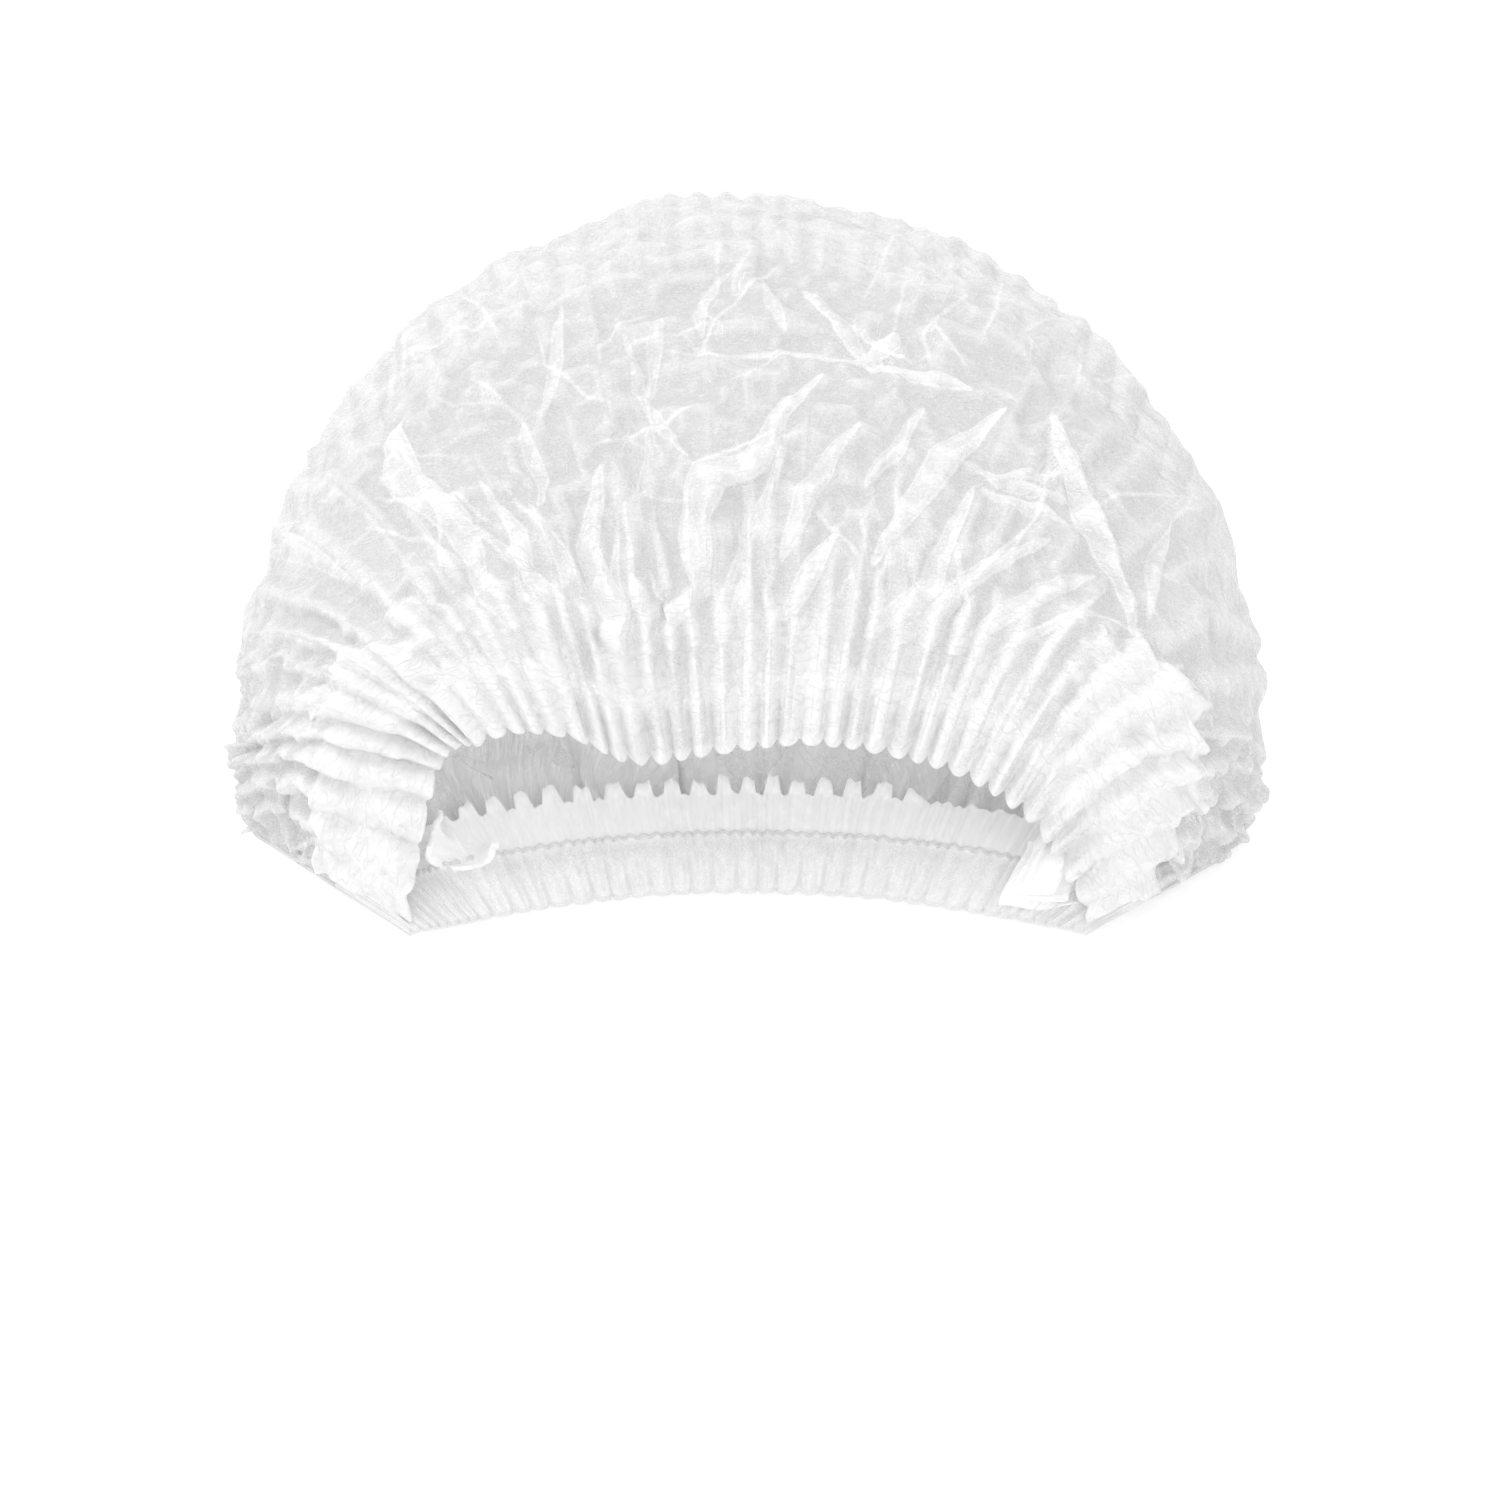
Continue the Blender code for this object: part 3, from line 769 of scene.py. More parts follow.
def pinched(grid, phase, strength):
    """The valleys between the gathers drawn together along the mouth, so that the tubes are full."""
    side = np.gradient(grid, axis=1)
    pitch = np.linalg.norm(side, axis=-1) * COLUMNS_PER_GATHER / (2 * math.pi)
    shift = np.sin(phase) * strength * pitch
    return grid + unit(side) * shift[..., None]


def unsettled(sheet, gathers, folds, random):
    """The sheet before it settles: gathered, folded and uneven all over."""
    shape = sheet.run.shape
    scallop = scallops(sheet, random)
    hills = START_NOISE * smooth_noise(shape, HILL_CELLS, random) * sheet.beyond_hem
    ruffle = CORNER_RUFFLE * smooth_noise(shape, RUFFLE_CELLS, random) * sheet.in_corner
    up_hem = faded(sheet.run / sheet.upper_hem)
    upper_pinch = GATHER_PINCH * (1 - up_hem**1.5) * gathers.near
    pinch = np.where(sheet.on_top, upper_pinch, GATHER_PINCH * gathers.far)
    height = gathers.upper + folds.rise + scallop + (hills + ruffle) * sheet.on_top
    start = pinched(sheet.grid, sheet.phase, pinch) + sheet.normal * height[..., None]
    start[..., 2] += gathers.lower * ~sheet.on_top
    start[..., 2] = np.maximum(start[..., 2], SHEET_LIFT)
    return start


def make_mesh(name, points):
    rows, columns = points.shape[:2]
    here = (np.arange(rows - 1)[:, None] * columns + np.arange(columns - 1)).ravel()
    faces = np.stack([here, here + 1, here + columns + 1, here + columns], axis=-1)
    mesh = bpy.data.meshes.new(name)
    mesh.from_pydata(points.reshape(-1, 3).tolist(), [], faces.tolist())
    mesh.update()
    mesh.shade_smooth()
    made = bpy.data.objects.new(name, mesh)
    bpy.context.scene.collection.objects.link(made)
    return made


def simulate(piece, hold):
    """Lets the cloth buckle into folds, because it grows and is held at its weighted points."""
    held = piece.vertex_groups.new(name="held")
    for weight in np.unique(hold):
        held.add(np.flatnonzero(hold == weight).tolist(), float(weight), "REPLACE")
    cloth = piece.modifiers.new("settle", "CLOTH")
    settings = cloth.settings
    settings.quality = SIM_QUALITY
    settings.mass = SIM_MASS
    settings.tension_stiffness = SIM_STIFFNESS
    settings.compression_stiffness = SIM_STIFFNESS
    settings.shear_stiffness = SIM_SHEAR
    settings.bending_stiffness = SIM_BENDING
    settings.air_damping = SIM_DAMPING
    settings.shrink_min = -SIM_GROWTH
    settings.vertex_group_mass = "held"
    settings.effector_weights.gravity = 0
    cloth.collision_settings.use_collision = False
    cloth.point_cache.frame_end = SIM_FRAMES
    scene = bpy.context.scene
    for step in range(1, SIM_FRAMES + 1):
        scene.frame_set(step)
    evaluated = piece.evaluated_get(bpy.context.evaluated_depsgraph_get())
    settled = evaluated.to_mesh()
    points = np.zeros(len(settled.vertices) * 3, np.float32)
    settled.vertices.foreach_get("co", points)
    evaluated.to_mesh_clear()
    scene.frame_set(1)
    return points.reshape(-1, 3)


def doubled(values):
    """Twice as many rows and columns, on smooth curves between the given ones."""
    for axis in (0, 1):
        values = np.moveaxis(values, axis, 0)
        before = 2 * values[:1] - values[1:2]
        after = 2 * values[-1:] - values[-2:-1]
        padded = np.concatenate([before, values, after])
        middle = (9 * (padded[1:-2] + padded[2:-1]) - padded[:-3] - padded[3:]) / 16
        finer = np.empty((len(values) * 2 - 1,) + values.shape[1:])
        finer[0::2] = values
        finer[1::2] = middle
        values = np.moveaxis(finer, 0, axis)
    return values


def settled(sheet, start):
    """The sheet after it has buckled, worked out on every fourth row and column."""
    coarse = start[::SIM_STEP, ::SIM_STEP]
    edge = sheet.edge // SIM_STEP
    hold = np.full(coarse.shape[:2], SIM_HOLD)
    hold[: sheet.seam // SIM_STEP + 1] = 1
    hold[sheet.back_seam // SIM_STEP :] = 1
    hold[edge : edge + ROLL_ROWS // SIM_STEP] = SIM_EDGE_HOLD
    hold[:, :2] = 1
    hold[:, -2:] = 1
    probe = make_mesh("probe", coarse * MM)
    moved = simulate(probe, hold.ravel()).reshape(coarse.shape) / MM - coarse
    bpy.data.objects.remove(probe)
    size = np.linalg.norm(moved, axis=-1, keepdims=True)
    moved *= SIM_REACH / np.maximum(size, SIM_REACH)
    points = start + doubled(doubled(moved))
    points[: sheet.seam + 1] = start[: sheet.seam + 1]
    points[sheet.back_seam :] = start[sheet.back_seam :]
    points[..., 2] = np.maximum(points[..., 2], SHEET_LIFT)
    return points


def strip_columns(sheet, centre, widths, random):
    """Columns of doubled cloth up the upper hem, one for each gather: how white, from 0 to 1."""
    phase = sheet.phase - centre
    number = np.clip(np.round(phase / (2 * math.pi)), 0, GATHERS).astype(int)
    lean = STRIP_LEAN * random.standard_normal(GATHERS + 1)
    top = STRIP_UNEVENNESS * random.standard_normal(GATHERS + 1)
    beside = np.abs(phase - 2 * math.pi * number + lean[number]) / math.pi
    below_top = faded((sheet.upper_hem + top[number] - sheet.run) / STRIP_ROUND)
    wander = 0.1 * smooth_noise(sheet.run.shape, STRIP_CELLS, random)
    full = widths[number] * np.sqrt(1 - (1 - below_top) ** 2) + wander * below_top
    return faded((full - beside) / STRIP_EDGE + 0.5) * faded(below_top * 3)


def strip_bands(sheet, random):
    """Full tubes at the mouth's left, and further right the cloth pinched between clear loops."""
    full = np.linspace(-1, 1, GATHERS + 1) < TUBES_END
    uneven = random.random((3, GATHERS + 1))
    on_tubes = np.where(full, 0.5 + 0.3 * uneven[0], 0.35 * uneven[0] - 0.12)
    between_tubes = np.where(full, 0.3 * uneven[1] - 0.1, 0.25 + 0.35 * uneven[1])
    tubes = strip_columns(sheet, 0.0, on_tubes, random)
    pinches = strip_columns(sheet, math.pi, between_tubes, random)
    ends = 1 - faded((np.abs(sheet.across) - 0.88) / 0.08)
    return np.maximum(tubes, pinches) * ends


def crown_fields(sheet, gathers, folds, strips, random):
    """The values stored on the crown's points, from which the material draws folds and creases."""
    on_top = sheet.on_top
    near_seam = UPPER_DOUBLED * gathers.near**SEAM_FADE
    whites = (folds.corner_white * on_top, folds.layers, near_seam * on_top)
    whites = whites + (STRIP_WHITE * strips * on_top, BACK_DOUBLED * gathers.far)
    _, back_depth, back_white = folds_over(sheet.grid, back_folds(sheet, random))
    behind = ~on_top & (sheet.run < sheet.run[-1] - sheet.lower_hem)
    return {
        "fold": np.maximum.reduce(whites),
        "main_depth": np.where(on_top, folds.main_depth, back_depth),
        "main_white": np.where(on_top, folds.main_white, back_white * behind),
        "gather_depth": folds.gather_depth,
        "gather_white": folds.gather_white,
        "crease_away": folds.crease_away,
        "crease_white": folds.crease_white,
    }


def put_attribute(piece, name, values):
    layer = piece.data.attributes.new(name, "FLOAT", "POINT")
    layer.data.foreach_set("value", np.ascontiguousarray(values, np.float32).ravel())


def put_uv(piece, u, v):
    """Places on the flat cloth, in metres, as the texture coordinates."""
    u, v = np.broadcast_arrays(u, v)
    layer = piece.data.uv_layers.new(name="cloth")
    corners = np.zeros(len(piece.data.loops), np.int32)
    piece.data.loops.foreach_get("vertex_index", corners)
    flat = np.stack([u.ravel()[corners], v.ravel()[corners]], axis=-1) * MM
    layer.data.foreach_set("uv", flat.astype(np.float32).ravel())


def creases(points):
    """How sharply the sheet turns over, from 0 to 1: a folded edge shows more cloth."""
    across = points[:, 2:] - 2 * points[:, 1:-1] + points[:, :-2]
    down = points[2:] - 2 * points[1:-1] + points[:-2]
    normal = normals_of(points)
    turn = np.zeros(points.shape[:2])
    turn[:, 1:-1] -= (across * normal[:, 1:-1]).sum(-1)
    turn[1:-1] -= (down * normal[1:-1]).sum(-1)
    return faded(turn / CREASE_TURN)


def dressed(name, points, material, node, finer=0, thickness=0.0):
    """One piece of the cap, put where the frame has it, with its material and what it replaces."""
    piece = make_mesh(name, points * MM + np.array([0.0, FRONT_LINE, 0.0]))
    piece.data.materials.append(material)
    put_attribute(piece, "crease", creases(points))
    if thickness:
        solid = piece.modifiers.new("thickness", "SOLIDIFY")
        solid.thickness = thickness * MM
        solid.offset = 0.0
    if finer:
        smooth = piece.modifiers.new("finer", "SUBSURF")
        smooth.levels = finer
        smooth.render_levels = finer
    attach(piece, "root")
    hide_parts(node)
    return piece


def add_crown(sheet, points, fields, material):
    rows = slice(sheet.seam, sheet.back_seam + 1)
    crown = dressed("crown_cloth", points[rows], material, "crown")
    for field, values in fields.items():
        put_attribute(crown, field, values[rows])
    put_uv(crown, sheet.flat_u, sheet.run[rows])
    return crown


def near_rim(layer):
    """How near each row of a hem layer is to the rim, its first row, from 0 to 1."""
    return np.exp(-np.arange(len(layer)) / SCALLOP_ROWS)[:, None]


def rim_scallops(layer, phase, depth):
    """Moves that draw a hem layer's rim out into a scallop at each gather."""
    outward = unit(layer[0] - layer[1])
    reach = depth * np.sqrt(np.abs(np.cos(phase / 2)))
    return near_rim(layer)[..., None] * (outward * reach[:, None])


def hem_layers(outer, inner):
    """A doubled hem: the outer layer from the seam to the rim, round it, and the inner one back."""
    beyond = unit(outer[0] - outer[1])
    turns = np.linspace(0, math.pi, RIM_ROWS + 2)[1:-1]
    middle = (outer[0] + inner[0]) / 2
    half = (outer[0] - inner[0]) / 2
    bulge = np.linalg.norm(half, axis=-1, keepdims=True)
    rim = [middle + half * math.cos(turn) + beyond * bulge * math.sin(turn) for turn in turns]
    return np.concatenate([outer[::-1], np.array(rim), inner])


def add_upper_hem(sheet, points, gathers, folds, strips, material):
    """The upper hem, and its inner layer, which carries the elastic."""
    rows = slice(0, sheet.seam + 1)
    outer = points[rows] + rim_scallops(points[rows], sheet.phase, SCALLOP_OUT)
    apart = HEM_LAYERS_APART + APART_AT_GATHERS * gathers.upper[rows]
    inner = outer - sheet.normal[rows] * apart[..., None]
    hem = dressed("upper_hem_cloth", hem_layers(outer, inner), material, "upper_hem")
    run = sheet.run[rows]
    at_rim = RIM_WHITE * np.exp(-((run / RIM_LINE) ** 2))
    outer_white = np.maximum.reduce(
        [strips[rows], at_rim, folds.corner_white[rows], folds.layers[rows]]
    )
    rim_white = np.repeat(np.maximum(strips[:1], RIM_WHITE), RIM_ROWS, axis=0)
    white = np.concatenate([outer_white[::-1], rim_white, strips[rows]])
    put_attribute(hem, "fold", STRIP_WHITE * white)
    put_uv(hem, sheet.flat_u, np.concatenate([run[::-1], np.zeros_like(rim_white), -run]))
    return hem, inner


def tabs(inner, across, random):
    """The ruffled cut edge of the lower hem's inner layer: rounded tabs that stand up a little."""
    away = unit(inner[-1] - inner[-4])
    turn = across * TAB_COUNT * math.pi + 1.2 * np.sin(9 * across)
    round_tab = faded(5 * (np.cos(turn / 2) ** 2 - 0.33)) ** 0.5
    middle = np.clip((TABS_END - np.abs(across + TABS_SHIFT)) / 0.08, 0.12, 1)
    size = 0.75 + 0.5 * random.random(TAB_COUNT * 2)
    number = np.round(turn / (2 * math.pi) + TAB_COUNT).astype(int)
    reach = TAB_LENGTH * round_tab * middle * size[np.clip(number, 0, TAB_COUNT * 2 - 1)]
    rows = []
    for step in np.linspace(0, 1, TAB_ROWS + 1)[1:]:
        row = inner[-1] + away * (reach * step)[:, None]
        row[:, 2] += TAB_RISE * round_tab * middle * math.sin(step * 1.9)
        rows.append(row)
    return np.array(rows)


def lower_inner_layer(sheet, outer, scallop, from_rim, random):
    """The lower hem's inner layer: it lies on the outer one, with a fine rib for each pleat."""
    ends = faded((1 - np.abs(sheet.across)) / LOWER_ENDS)
    raised = 1 - RIM_PRESSED * np.exp(-((from_rim / LOWER_RIM_REACH) ** 2))
    fine = 2 * sheet.phase + 0.8 * smooth_noise(from_rim.shape, FINE_RIB_CELLS, random)
    ribs = RIB_DEPTH * (1 + np.cos(sheet.phase)) + RIB_FINE * np.cos(fine)
    ribs = ribs * (1 - 0.8 * near_rim(outer))
    ribs = ribs + RIB_UNEVEN * smooth_noise(from_rim.shape, UNEVEN_RIB_CELLS, random)
    inner = sheet.grid[sheet.back_seam :][::-1] + scallop
    inner[..., 2] = SHEET_LIFT + HEM_LAYERS_APART + (LOWER_HEIGHT * raised + ribs) * ends
    inner[..., 2] = np.maximum(inner[..., 2], outer[..., 2] + LAYER_GAP)
    return inner


def add_lower_hem(sheet, points, material, random):
    """The lower hem with its ruffled edge and painted shade at its clefts and rim, and its inner
    layer, which carries the elastic.
    """
    outer = points[sheet.back_seam :][::-1]
    scallop = rim_scallops(outer, sheet.phase, LOWER_SCALLOP_OUT)
    outer = outer + scallop
    from_rim = sheet.run[-1] - sheet.run[sheet.back_seam :][::-1]
    inner = lower_inner_layer(sheet, outer, scallop, from_rim, random)
    edge = tabs(inner, sheet.across, random)
    grid = np.concatenate([hem_layers(outer, inner), edge])
    hem = dressed("lower_hem_cloth", grid, material, "lower_hem")
    # Painted shade: darker in the clefts between the scallops, towards the rim, and on the rim and
    # the outer layer under it
    cleft_shade = faded(1 - np.abs(np.cos(sheet.phase / 2)) / CLEFT_SHADE_WIDTH)
    cleft_shade = cleft_shade * np.exp(-from_rim / CLEFT_SHADE_LENGTH)
    toward_seam = faded((from_rim / sheet.lower_hem - 0.4) / 0.15)
    inner_white_and_shade = between((LOWER_RIM_SHADED_WHITE, LOWER_INNER_WHITE), toward_seam) - LOWER_INNER_WHITE * cleft_shade
    outer_painted_shade = np.full((len(outer) + RIM_ROWS, len(sheet.across)), OUTER_LAYER_SHADED_WHITE)
    edge_white = np.full(edge.shape[:2], LOWER_INNER_WHITE)
    put_attribute(hem, "crest", np.concatenate([outer_painted_shade, inner_white_and_shade, edge_white]))
    put_uv(hem, sheet.flat_u, np.arange(len(grid))[:, None] * HEM_ROW_LENGTH)
    return hem, inner


def band_on(layer, lift):
    """A narrow strip that lies along the middle row of a hem layer."""
    row_length = np.linalg.norm(layer[-1] - layer[0], axis=-1).mean() / (len(layer) - 1)
    lines = []
    for side in (-1, -0.5, 0, 0.5, 1):
        at = (len(layer) - 1) / 2 + side * ELASTIC_WIDTH / 2 / row_length
        low = int(at)
        line = layer[low] + (layer[low + 1] - layer[low]) * (at - low)
        lines.append(line + np.array([0, 0, lift]))
    return np.array(lines)


def add_elastic(sheet, layer, lift, node, material):
    first, last = (int(len(sheet.across) * share) for share in ELASTIC_SPAN)
    strip = band_on(layer[:, first:last], lift)
    name = node + "_band"
    band = dressed(name, strip, material, node, thickness=ELASTIC_THICKNESS)
    put_uv(band, sheet.flat_u[first:last], np.arange(len(strip))[:, None])


def curl_line():
    steps = np.linspace(0, CURL["across"][-1], CURL_ROWS)
    x = CURL_LENGTH * HALF_MOUTH * smooth_table(CURL, "along", steps)
    z = CURL_HEIGHT * MOUTH_HEIGHT * smooth_table(CURL, "up", steps)
    return np.stack([x, np.zeros_like(x), z], axis=-1)


def stack_line():
    length = STACK_LENGTH * HALF_MOUTH
    pitch = STACK_HEIGHT * MOUTH_HEIGHT / (len(STACK_TURNS) - 1)
    line = [(STACK_TURNS[0] * length, 0.0, 0.0)]
    for pleat, turn in enumerate(STACK_TURNS[1:]):
        side = 1 if pleat % 2 else -1
        middle = turn * length - side * pitch / 2
        for angle in np.linspace(-math.pi / 2, math.pi / 2, STACK_TURN_ROWS):
            x = middle + side * pitch / 2 * math.cos(angle)
            line.append((x, 0.0, pitch * (pleat + 0.5 + 0.5 * math.sin(angle))))
    line = np.array(line)
    run = run_of(line)
    at = np.linspace(0, run[-1], STACK_ROWS)
    return np.stack([np.interp(at, run, column) for column in line.T], axis=-1)


def swept(line, strip, random):
    """A profile line, seen along the mouth, swept backwards up a slope into a ruffled strip."""
    slope = strip["slope"]
    ruffle = strip["ruffle"]
    across = strip["width"] * np.array([strip["lean"], math.cos(slope), math.sin(slope)])
    shares = np.linspace(0, 1, SWEPT_COLUMNS)
    widths = 1 - strip["narrowed"] * np.linspace(0, 1, len(line))[:, None, None] ** 1.5
    grid = np.array(strip["origin"]) + line[:, None, :] + shares[None, :, None] * widths * across
    edge = np.abs(2 * shares - 1) ** 3
    noise = smooth_noise(grid.shape[:2], (len(line) / 9, SWEPT_COLUMNS / 5), random)
    grid = grid + normals_of(grid) * (ruffle * noise * (0.35 + edge))[..., None]
    return grid + 0.6 * ruffle * (noise * edge)[..., None] * across / strip["width"]


def add_sealed_end(name, line, strip, node, material, random):
    grid = swept(line, strip, random)
    thickness = strip["thickness"]
    end = dressed(name, grid, material, node, finer=1, thickness=thickness)
    put_attribute(end, "crest", np.ones(grid.shape[:2]))
    put_uv(end, np.arange(len(grid))[:, None], np.arange(SWEPT_COLUMNS))


class Shader:
    """A material and short ways to wire its nodes."""

    def __init__(self, name):
        self.material = bpy.data.materials.new(name)
        self.material.use_nodes = True
        self.nodes = self.material.node_tree.nodes
        self.links = self.material.node_tree.links
        self.surface = self.nodes["Principled BSDF"].inputs

    def join(self, source, target):
        if isinstance(source, bpy.types.NodeSocket):
            self.links.new(source, target)
        else:
            target.default_value = source

    def node(self, kind, inputs):
        """A new node whose inputs are set or linked."""
        node = self.nodes.new("ShaderNode" + kind)
        for name, source in inputs.items():
            self.join(source, node.inputs[name])
        return node

    def math(self, operation, first, second=0.0, clamp=False):
        node = self.node("Math", {0: first, 1: second})
        node.operation = operation
        node.use_clamp = clamp
        return node.outputs[0]

    def add(self, total, value, weight, clamp=False):
        """The total with so much of a value added."""
        return self.math("ADD", total, self.math("MULTIPLY", value, weight), clamp)

    def ramp(self, value, from_low, from_high, to_low=0.0, to_high=1.0):
        inputs = {"Value": value, "From Min": from_low, "From Max": from_high}
        inputs.update({"To Min": to_low, "To Max": to_high})
        return self.node("MapRange", inputs).outputs["Result"]

    def attribute(self, name):
        node = self.nodes.new("ShaderNodeAttribute")
        node.attribute_name = name
        return node.outputs["Fac"]

    def mapped(self, place, stretch, turn=0.0):
        inputs = {"Vector": place, "Scale": stretch, "Rotation": (0.0, 0.0, turn)}
        return self.node("Mapping", inputs).outputs["Vector"]

    def cloth_place(self, stretch=(1.0, 1.0, 1.0), turn=0.0):
        """Places on the flat cloth, in metres."""
        node = self.nodes.new("ShaderNodeUVMap")
        node.uv_map = "cloth"
        return self.mapped(node.outputs["UV"], stretch, turn)

    def space_place(self, stretch):
        """Places in space, in metres."""
        node = self.nodes.new("ShaderNodeTexCoord")
        return self.mapped(node.outputs["Object"], stretch)

    def noise(self, place, cell, detail=3.0, roughness=0.5, distortion=0.0):
        """Noise with cells of about so many millimetres."""
        inputs = {"Vector": place, "Scale": 1000.0 / cell, "Detail": detail}
        inputs.update({"Roughness": roughness, "Distortion": distortion})
        return self.node("TexNoise", inputs).outputs["Fac"]

    def lines(self, noise, width):
        """Thin winding lines where a noise crosses its middle."""
        away = self.math("ABSOLUTE", self.math("SUBTRACT", noise, 0.5))
        return self.ramp(away, 0.0, width, 1.0, 0.0)

    def band(self, name):
        """A folded band: a little whiter inside, with a bright line along its edge."""
        depth = self.attribute(name + "_depth")
        inside = self.ramp(depth, -BAND_EDGE, BAND_EDGE, 0.0, BAND_WHITE)
        line = self.ramp(self.math("ABSOLUTE", depth), 0.0, LINE_WIDTH, LINE_WHITE, 0.0)
        both = self.math("ADD", inside, line)
        return self.math("MULTIPLY", both, self.attribute(name + "_white"))

    def crease_line(self):
        away = self.math("ABSOLUTE", self.attribute("crease_away"))
        line = self.ramp(away, 0.0, CREASE_LINE_WIDTH, CREASE_LINE_WHITE, 0.0)
        return self.math("MULTIPLY", line, self.attribute("crease_white"))

    def tone(self, value, dark, light):
        """A grey base colour between two tones."""
        grey = self.nodes.new("ShaderNodeCombineColor")
        tone = self.ramp(value, 0.0, 1.0, dark, light)
        for channel in ("Red", "Green", "Blue"):
            self.links.new(tone, grey.inputs[channel])
        self.links.new(grey.outputs["Color"], self.surface["Base Color"])

    def bump(self, height, distance, strength):
        node = self.node("Bump", {"Strength": strength, "Distance": distance, "Height": height})
        self.links.new(node.outputs["Normal"], self.surface["Normal"])

    def set(self, name, value):
        self.surface[name].default_value = value

    def glow(self, strength):
        """Painted glow: white emission on a surface that is no lamp. On the cloth it stands in for
        light scattered through the thin sheet; on the floor it keeps the ground evenly bright.
        """
        self.set("Emission Color", (1.0, 1.0, 1.0, 1.0))
        self.set("Emission Strength", strength)


def sheet_material(name, doubled_cloth, folded):
    """Thin non-woven cloth: a web of fibres that lets light through, whiter where it is folded."""
    shader = Shader(name)
    place = shader.space_place(CLOTH_NARROWED)
    coarse = shader.noise(place, cell=1.5, detail=4.0, roughness=0.7, distortion=1.2)
    fine = shader.noise(place, cell=0.7, detail=3.0, roughness=0.6, distortion=0.8)
    clouds = shader.noise(place, cell=7.0, detail=4.0, roughness=0.6, distortion=0.5)
    crinkle_place = shader.cloth_place((0.35, 1.0, 1.0), turn=0.12)
    crinkle = shader.noise(crinkle_place, cell=3.2, detail=3.0, roughness=0.55, distortion=0.5)
    crinkle = shader.lines(crinkle, 0.045)
    fibres = shader.math("MULTIPLY", shader.lines(coarse, 0.04), 0.6)
    fibres = shader.add(fibres, shader.lines(fine, 0.06), 0.4)
    white = shader.math("ADD", shader.attribute("fold"), doubled_cloth)
    if folded:
        white = shader.math("ADD", white, shader.band("main"))
        white = shader.math("ADD", white, shader.band("gather"))
        white = shader.math("ADD", white, shader.crease_line())
    white = shader.add(white, shader.attribute("crease"), CREASE_WHITE)
    white = shader.add(white, crinkle, CRINKLE_WHITE)
    white = shader.add(white, fibres, FIBRE_WHITE, clamp=True)
    cloudy = shader.ramp(clouds, 0.3, 0.7, -CLOUD_WHITE, CLOUD_WHITE)
    white = shader.math("ADD", white, cloudy, clamp=True)
    shader.tone(white, SHEET_DARK, SHEET_LIGHT)
    alpha = shader.ramp(white, 0.0, 0.9, SHEET_THIN, SHEET_THICK)
    shader.join(alpha, shader.surface["Alpha"])
    height = shader.add(shader.math("MULTIPLY", crinkle, 0.8), fibres, 0.3)
    shader.bump(height, distance=0.0006, strength=0.6)
    shader.set("Roughness", CLOTH_ROUGHNESS)
    shader.set("Specular IOR Level", CLOTH_SPECULAR)
    shader.set("Sheen Weight", CLOTH_SHEEN)
    # Painted glow: the cloth emits light, standing in for light scattered through it
    shader.glow(SHEET_PAINTED_GLOW)
    return shader.material


def hem_material(name, dark, light, see_through):
    """Several layers of the same cloth, nearly opaque."""
    shader = Shader(name)
    place = shader.cloth_place()
    fibres = shader.noise(place, cell=1.6, detail=3.0, roughness=0.6, distortion=1.2)
    fibres = shader.lines(fibres, 0.07)
    clouds = shader.noise(place, cell=5.0, detail=4.0, roughness=0.6, distortion=0.5)
    white = shader.math("MULTIPLY", fibres, HEM_FIBRE_WHITE)
    # The crest values hold the lower hem's painted shade at its clefts and rim; the sealed ends have
    # them all at full white
    white = shader.add(white, shader.attribute("crest"), HEM_WHITE_AND_SHADE)
    cloudy = shader.ramp(clouds, 0.3, 0.7, -HEM_CLOUD_WHITE, HEM_CLOUD_WHITE)
    white = shader.math("ADD", white, cloudy, clamp=True)
    shader.tone(white, dark, light)
    shader.join(shader.ramp(white, 0.1, 0.7, see_through, 1.0), shader.surface["Alpha"])
    shader.bump(fibres, distance=0.0004, strength=0.5)
    shader.set("Roughness", CLOTH_ROUGHNESS)
    shader.set("Specular IOR Level", CLOTH_SPECULAR)
    # Painted glow: the cloth emits light, standing in for light scattered through it
    shader.glow(HEM_PAINTED_GLOW)
    return shader.material


def elastic_material():
    """Tape whose threads run along it."""
    shader = Shader("elastic_tape")
    place = shader.cloth_place((0.2, 1.0, 1.0))
    threads = shader.noise(place, cell=0.6, detail=2.0)
    shader.tone(shader.ramp(threads, 0.3, 0.7), ELASTIC_DARK, ELASTIC_LIGHT)
    shader.bump(threads, distance=0.0002, strength=0.6)
    shader.set("Roughness", ELASTIC_ROUGHNESS)
    return shader.material


def build_cap():
    random = np.random.default_rng(RANDOM_SEED)
    sheet = sheet_rows()
    gathers = gather_wave(sheet, random)
    folds = crown_folds(sheet, random)
    start = unsettled(sheet, gathers, folds, random)
    points = settled(sheet, start)
    strips = strip_bands(sheet, random)
    fields = crown_fields(sheet, gathers, folds, strips, random)

    cloth = sheet_material("nonwoven_sheet", 0.0, True)
    upper_cloth = sheet_material("nonwoven_upper_hem", UPPER_DOUBLED, False)
    lower_cloth = hem_material("nonwoven_hem", HEM_DARK, HEM_LIGHT, HEM_THIN)
    sealed = hem_material("sealed_layers", END_DARK, END_LIGHT, 1.0)
    tape = elastic_material()

    crown = add_crown(sheet, points, fields, cloth)
    upper, upper_inner = add_upper_hem(sheet, points, gathers, folds, strips, upper_cloth)
    lower, lower_inner = add_lower_hem(sheet, points, lower_cloth, random)
    add_elastic(sheet, lower_inner, LOWER_ELASTIC_LIFT, "lower_elastic", tape)
    add_elastic(sheet, upper_inner, UPPER_ELASTIC_LIFT, "upper_elastic", tape)
    add_sealed_end("left_end_curl", curl_line(), CURL_STRIP, "left_end", sealed, random)
    add_sealed_end("right_end_stack", stack_line(), STACK_STRIP, "right_end", sealed, random)


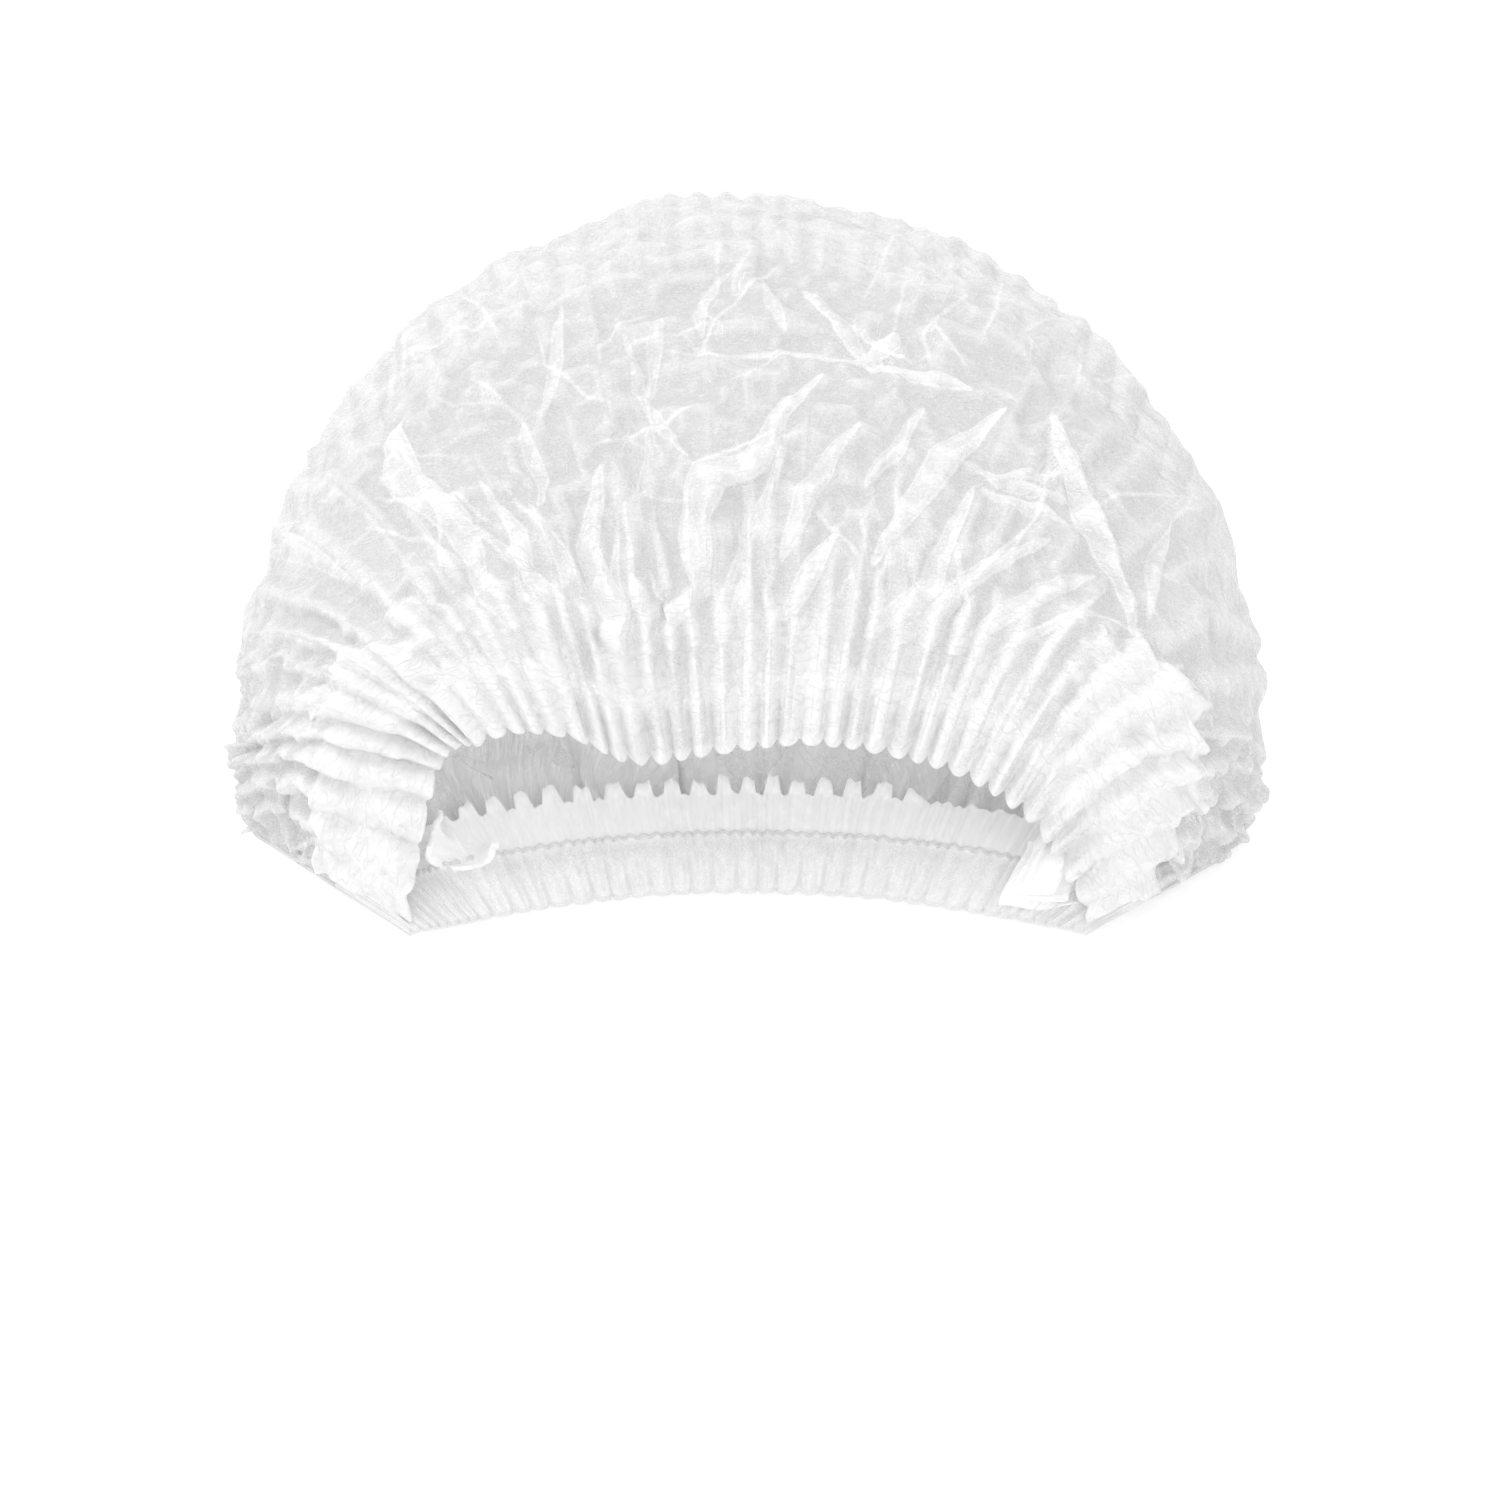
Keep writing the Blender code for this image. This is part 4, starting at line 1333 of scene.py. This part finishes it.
def add_floor():
    half = FLOOR_SIZE / 2
    mesh = bpy.data.meshes.new("floor")
    corners = [(-half, -half, 0), (half, -half, 0), (half, half, 0), (-half, half, 0)]
    mesh.from_pydata(corners, [], [(0, 1, 2, 3)])
    floor = bpy.data.objects.new("floor", mesh)
    bpy.context.scene.collection.objects.link(floor)
    shader = Shader("white_ground")
    shader.set("Base Color", (FLOOR_TONE, FLOOR_TONE, FLOOR_TONE, 1.0))
    shader.set("Roughness", 1.0)
    shader.set("Specular IOR Level", 0.0)
    shader.glow(FLOOR_GLOW)
    mesh.materials.append(shader.material)


def turn_toward(thing, direction):
    thing.rotation_mode = "QUATERNION"
    thing.rotation_quaternion = direction.to_track_quat("-Z", "Y")


def add_light():
    scene = bpy.context.scene
    world = bpy.data.worlds.new("studio")
    scene.world = world
    world.use_nodes = True
    background = world.node_tree.nodes["Background"]
    background.inputs["Color"].default_value = (1.0, 1.0, 1.0, 1.0)
    background.inputs["Strength"].default_value = WORLD_STRENGTH
    for name, place, size, power in LIGHTS:
        data = bpy.data.lights.new(name, "AREA")
        data.shape = "DISK"
        data.size = size
        data.energy = power
        lamp = bpy.data.objects.new(name, data)
        lamp.location = place
        turn_toward(lamp, -Vector(place))
        scene.collection.objects.link(lamp)


def add_camera():
    scene = bpy.context.scene
    data = bpy.data.cameras.new("camera")
    data.lens = CAMERA_LENS
    camera = bpy.data.objects.new("camera", data)
    elevation = math.radians(CAMERA_ELEVATION)
    back = Vector((0, -math.cos(elevation), math.sin(elevation)))
    camera.location = Vector(CAMERA_AIM) + back * CAMERA_DISTANCE
    turn_toward(camera, -back)
    scene.collection.objects.link(camera)
    scene.camera = camera


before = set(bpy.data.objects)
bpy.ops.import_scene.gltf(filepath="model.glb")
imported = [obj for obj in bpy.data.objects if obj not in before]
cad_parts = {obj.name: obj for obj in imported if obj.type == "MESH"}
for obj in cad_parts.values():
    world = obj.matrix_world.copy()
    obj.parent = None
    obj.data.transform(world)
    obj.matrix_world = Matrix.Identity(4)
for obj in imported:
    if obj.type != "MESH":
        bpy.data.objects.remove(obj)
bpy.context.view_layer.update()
FRONT_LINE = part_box("lower_hem")[0][1] - lower_rim_y(1.0) * MM
bpy.context.scene.view_settings.view_transform = "Standard"
build_cap()
add_floor()
add_light()
add_camera()
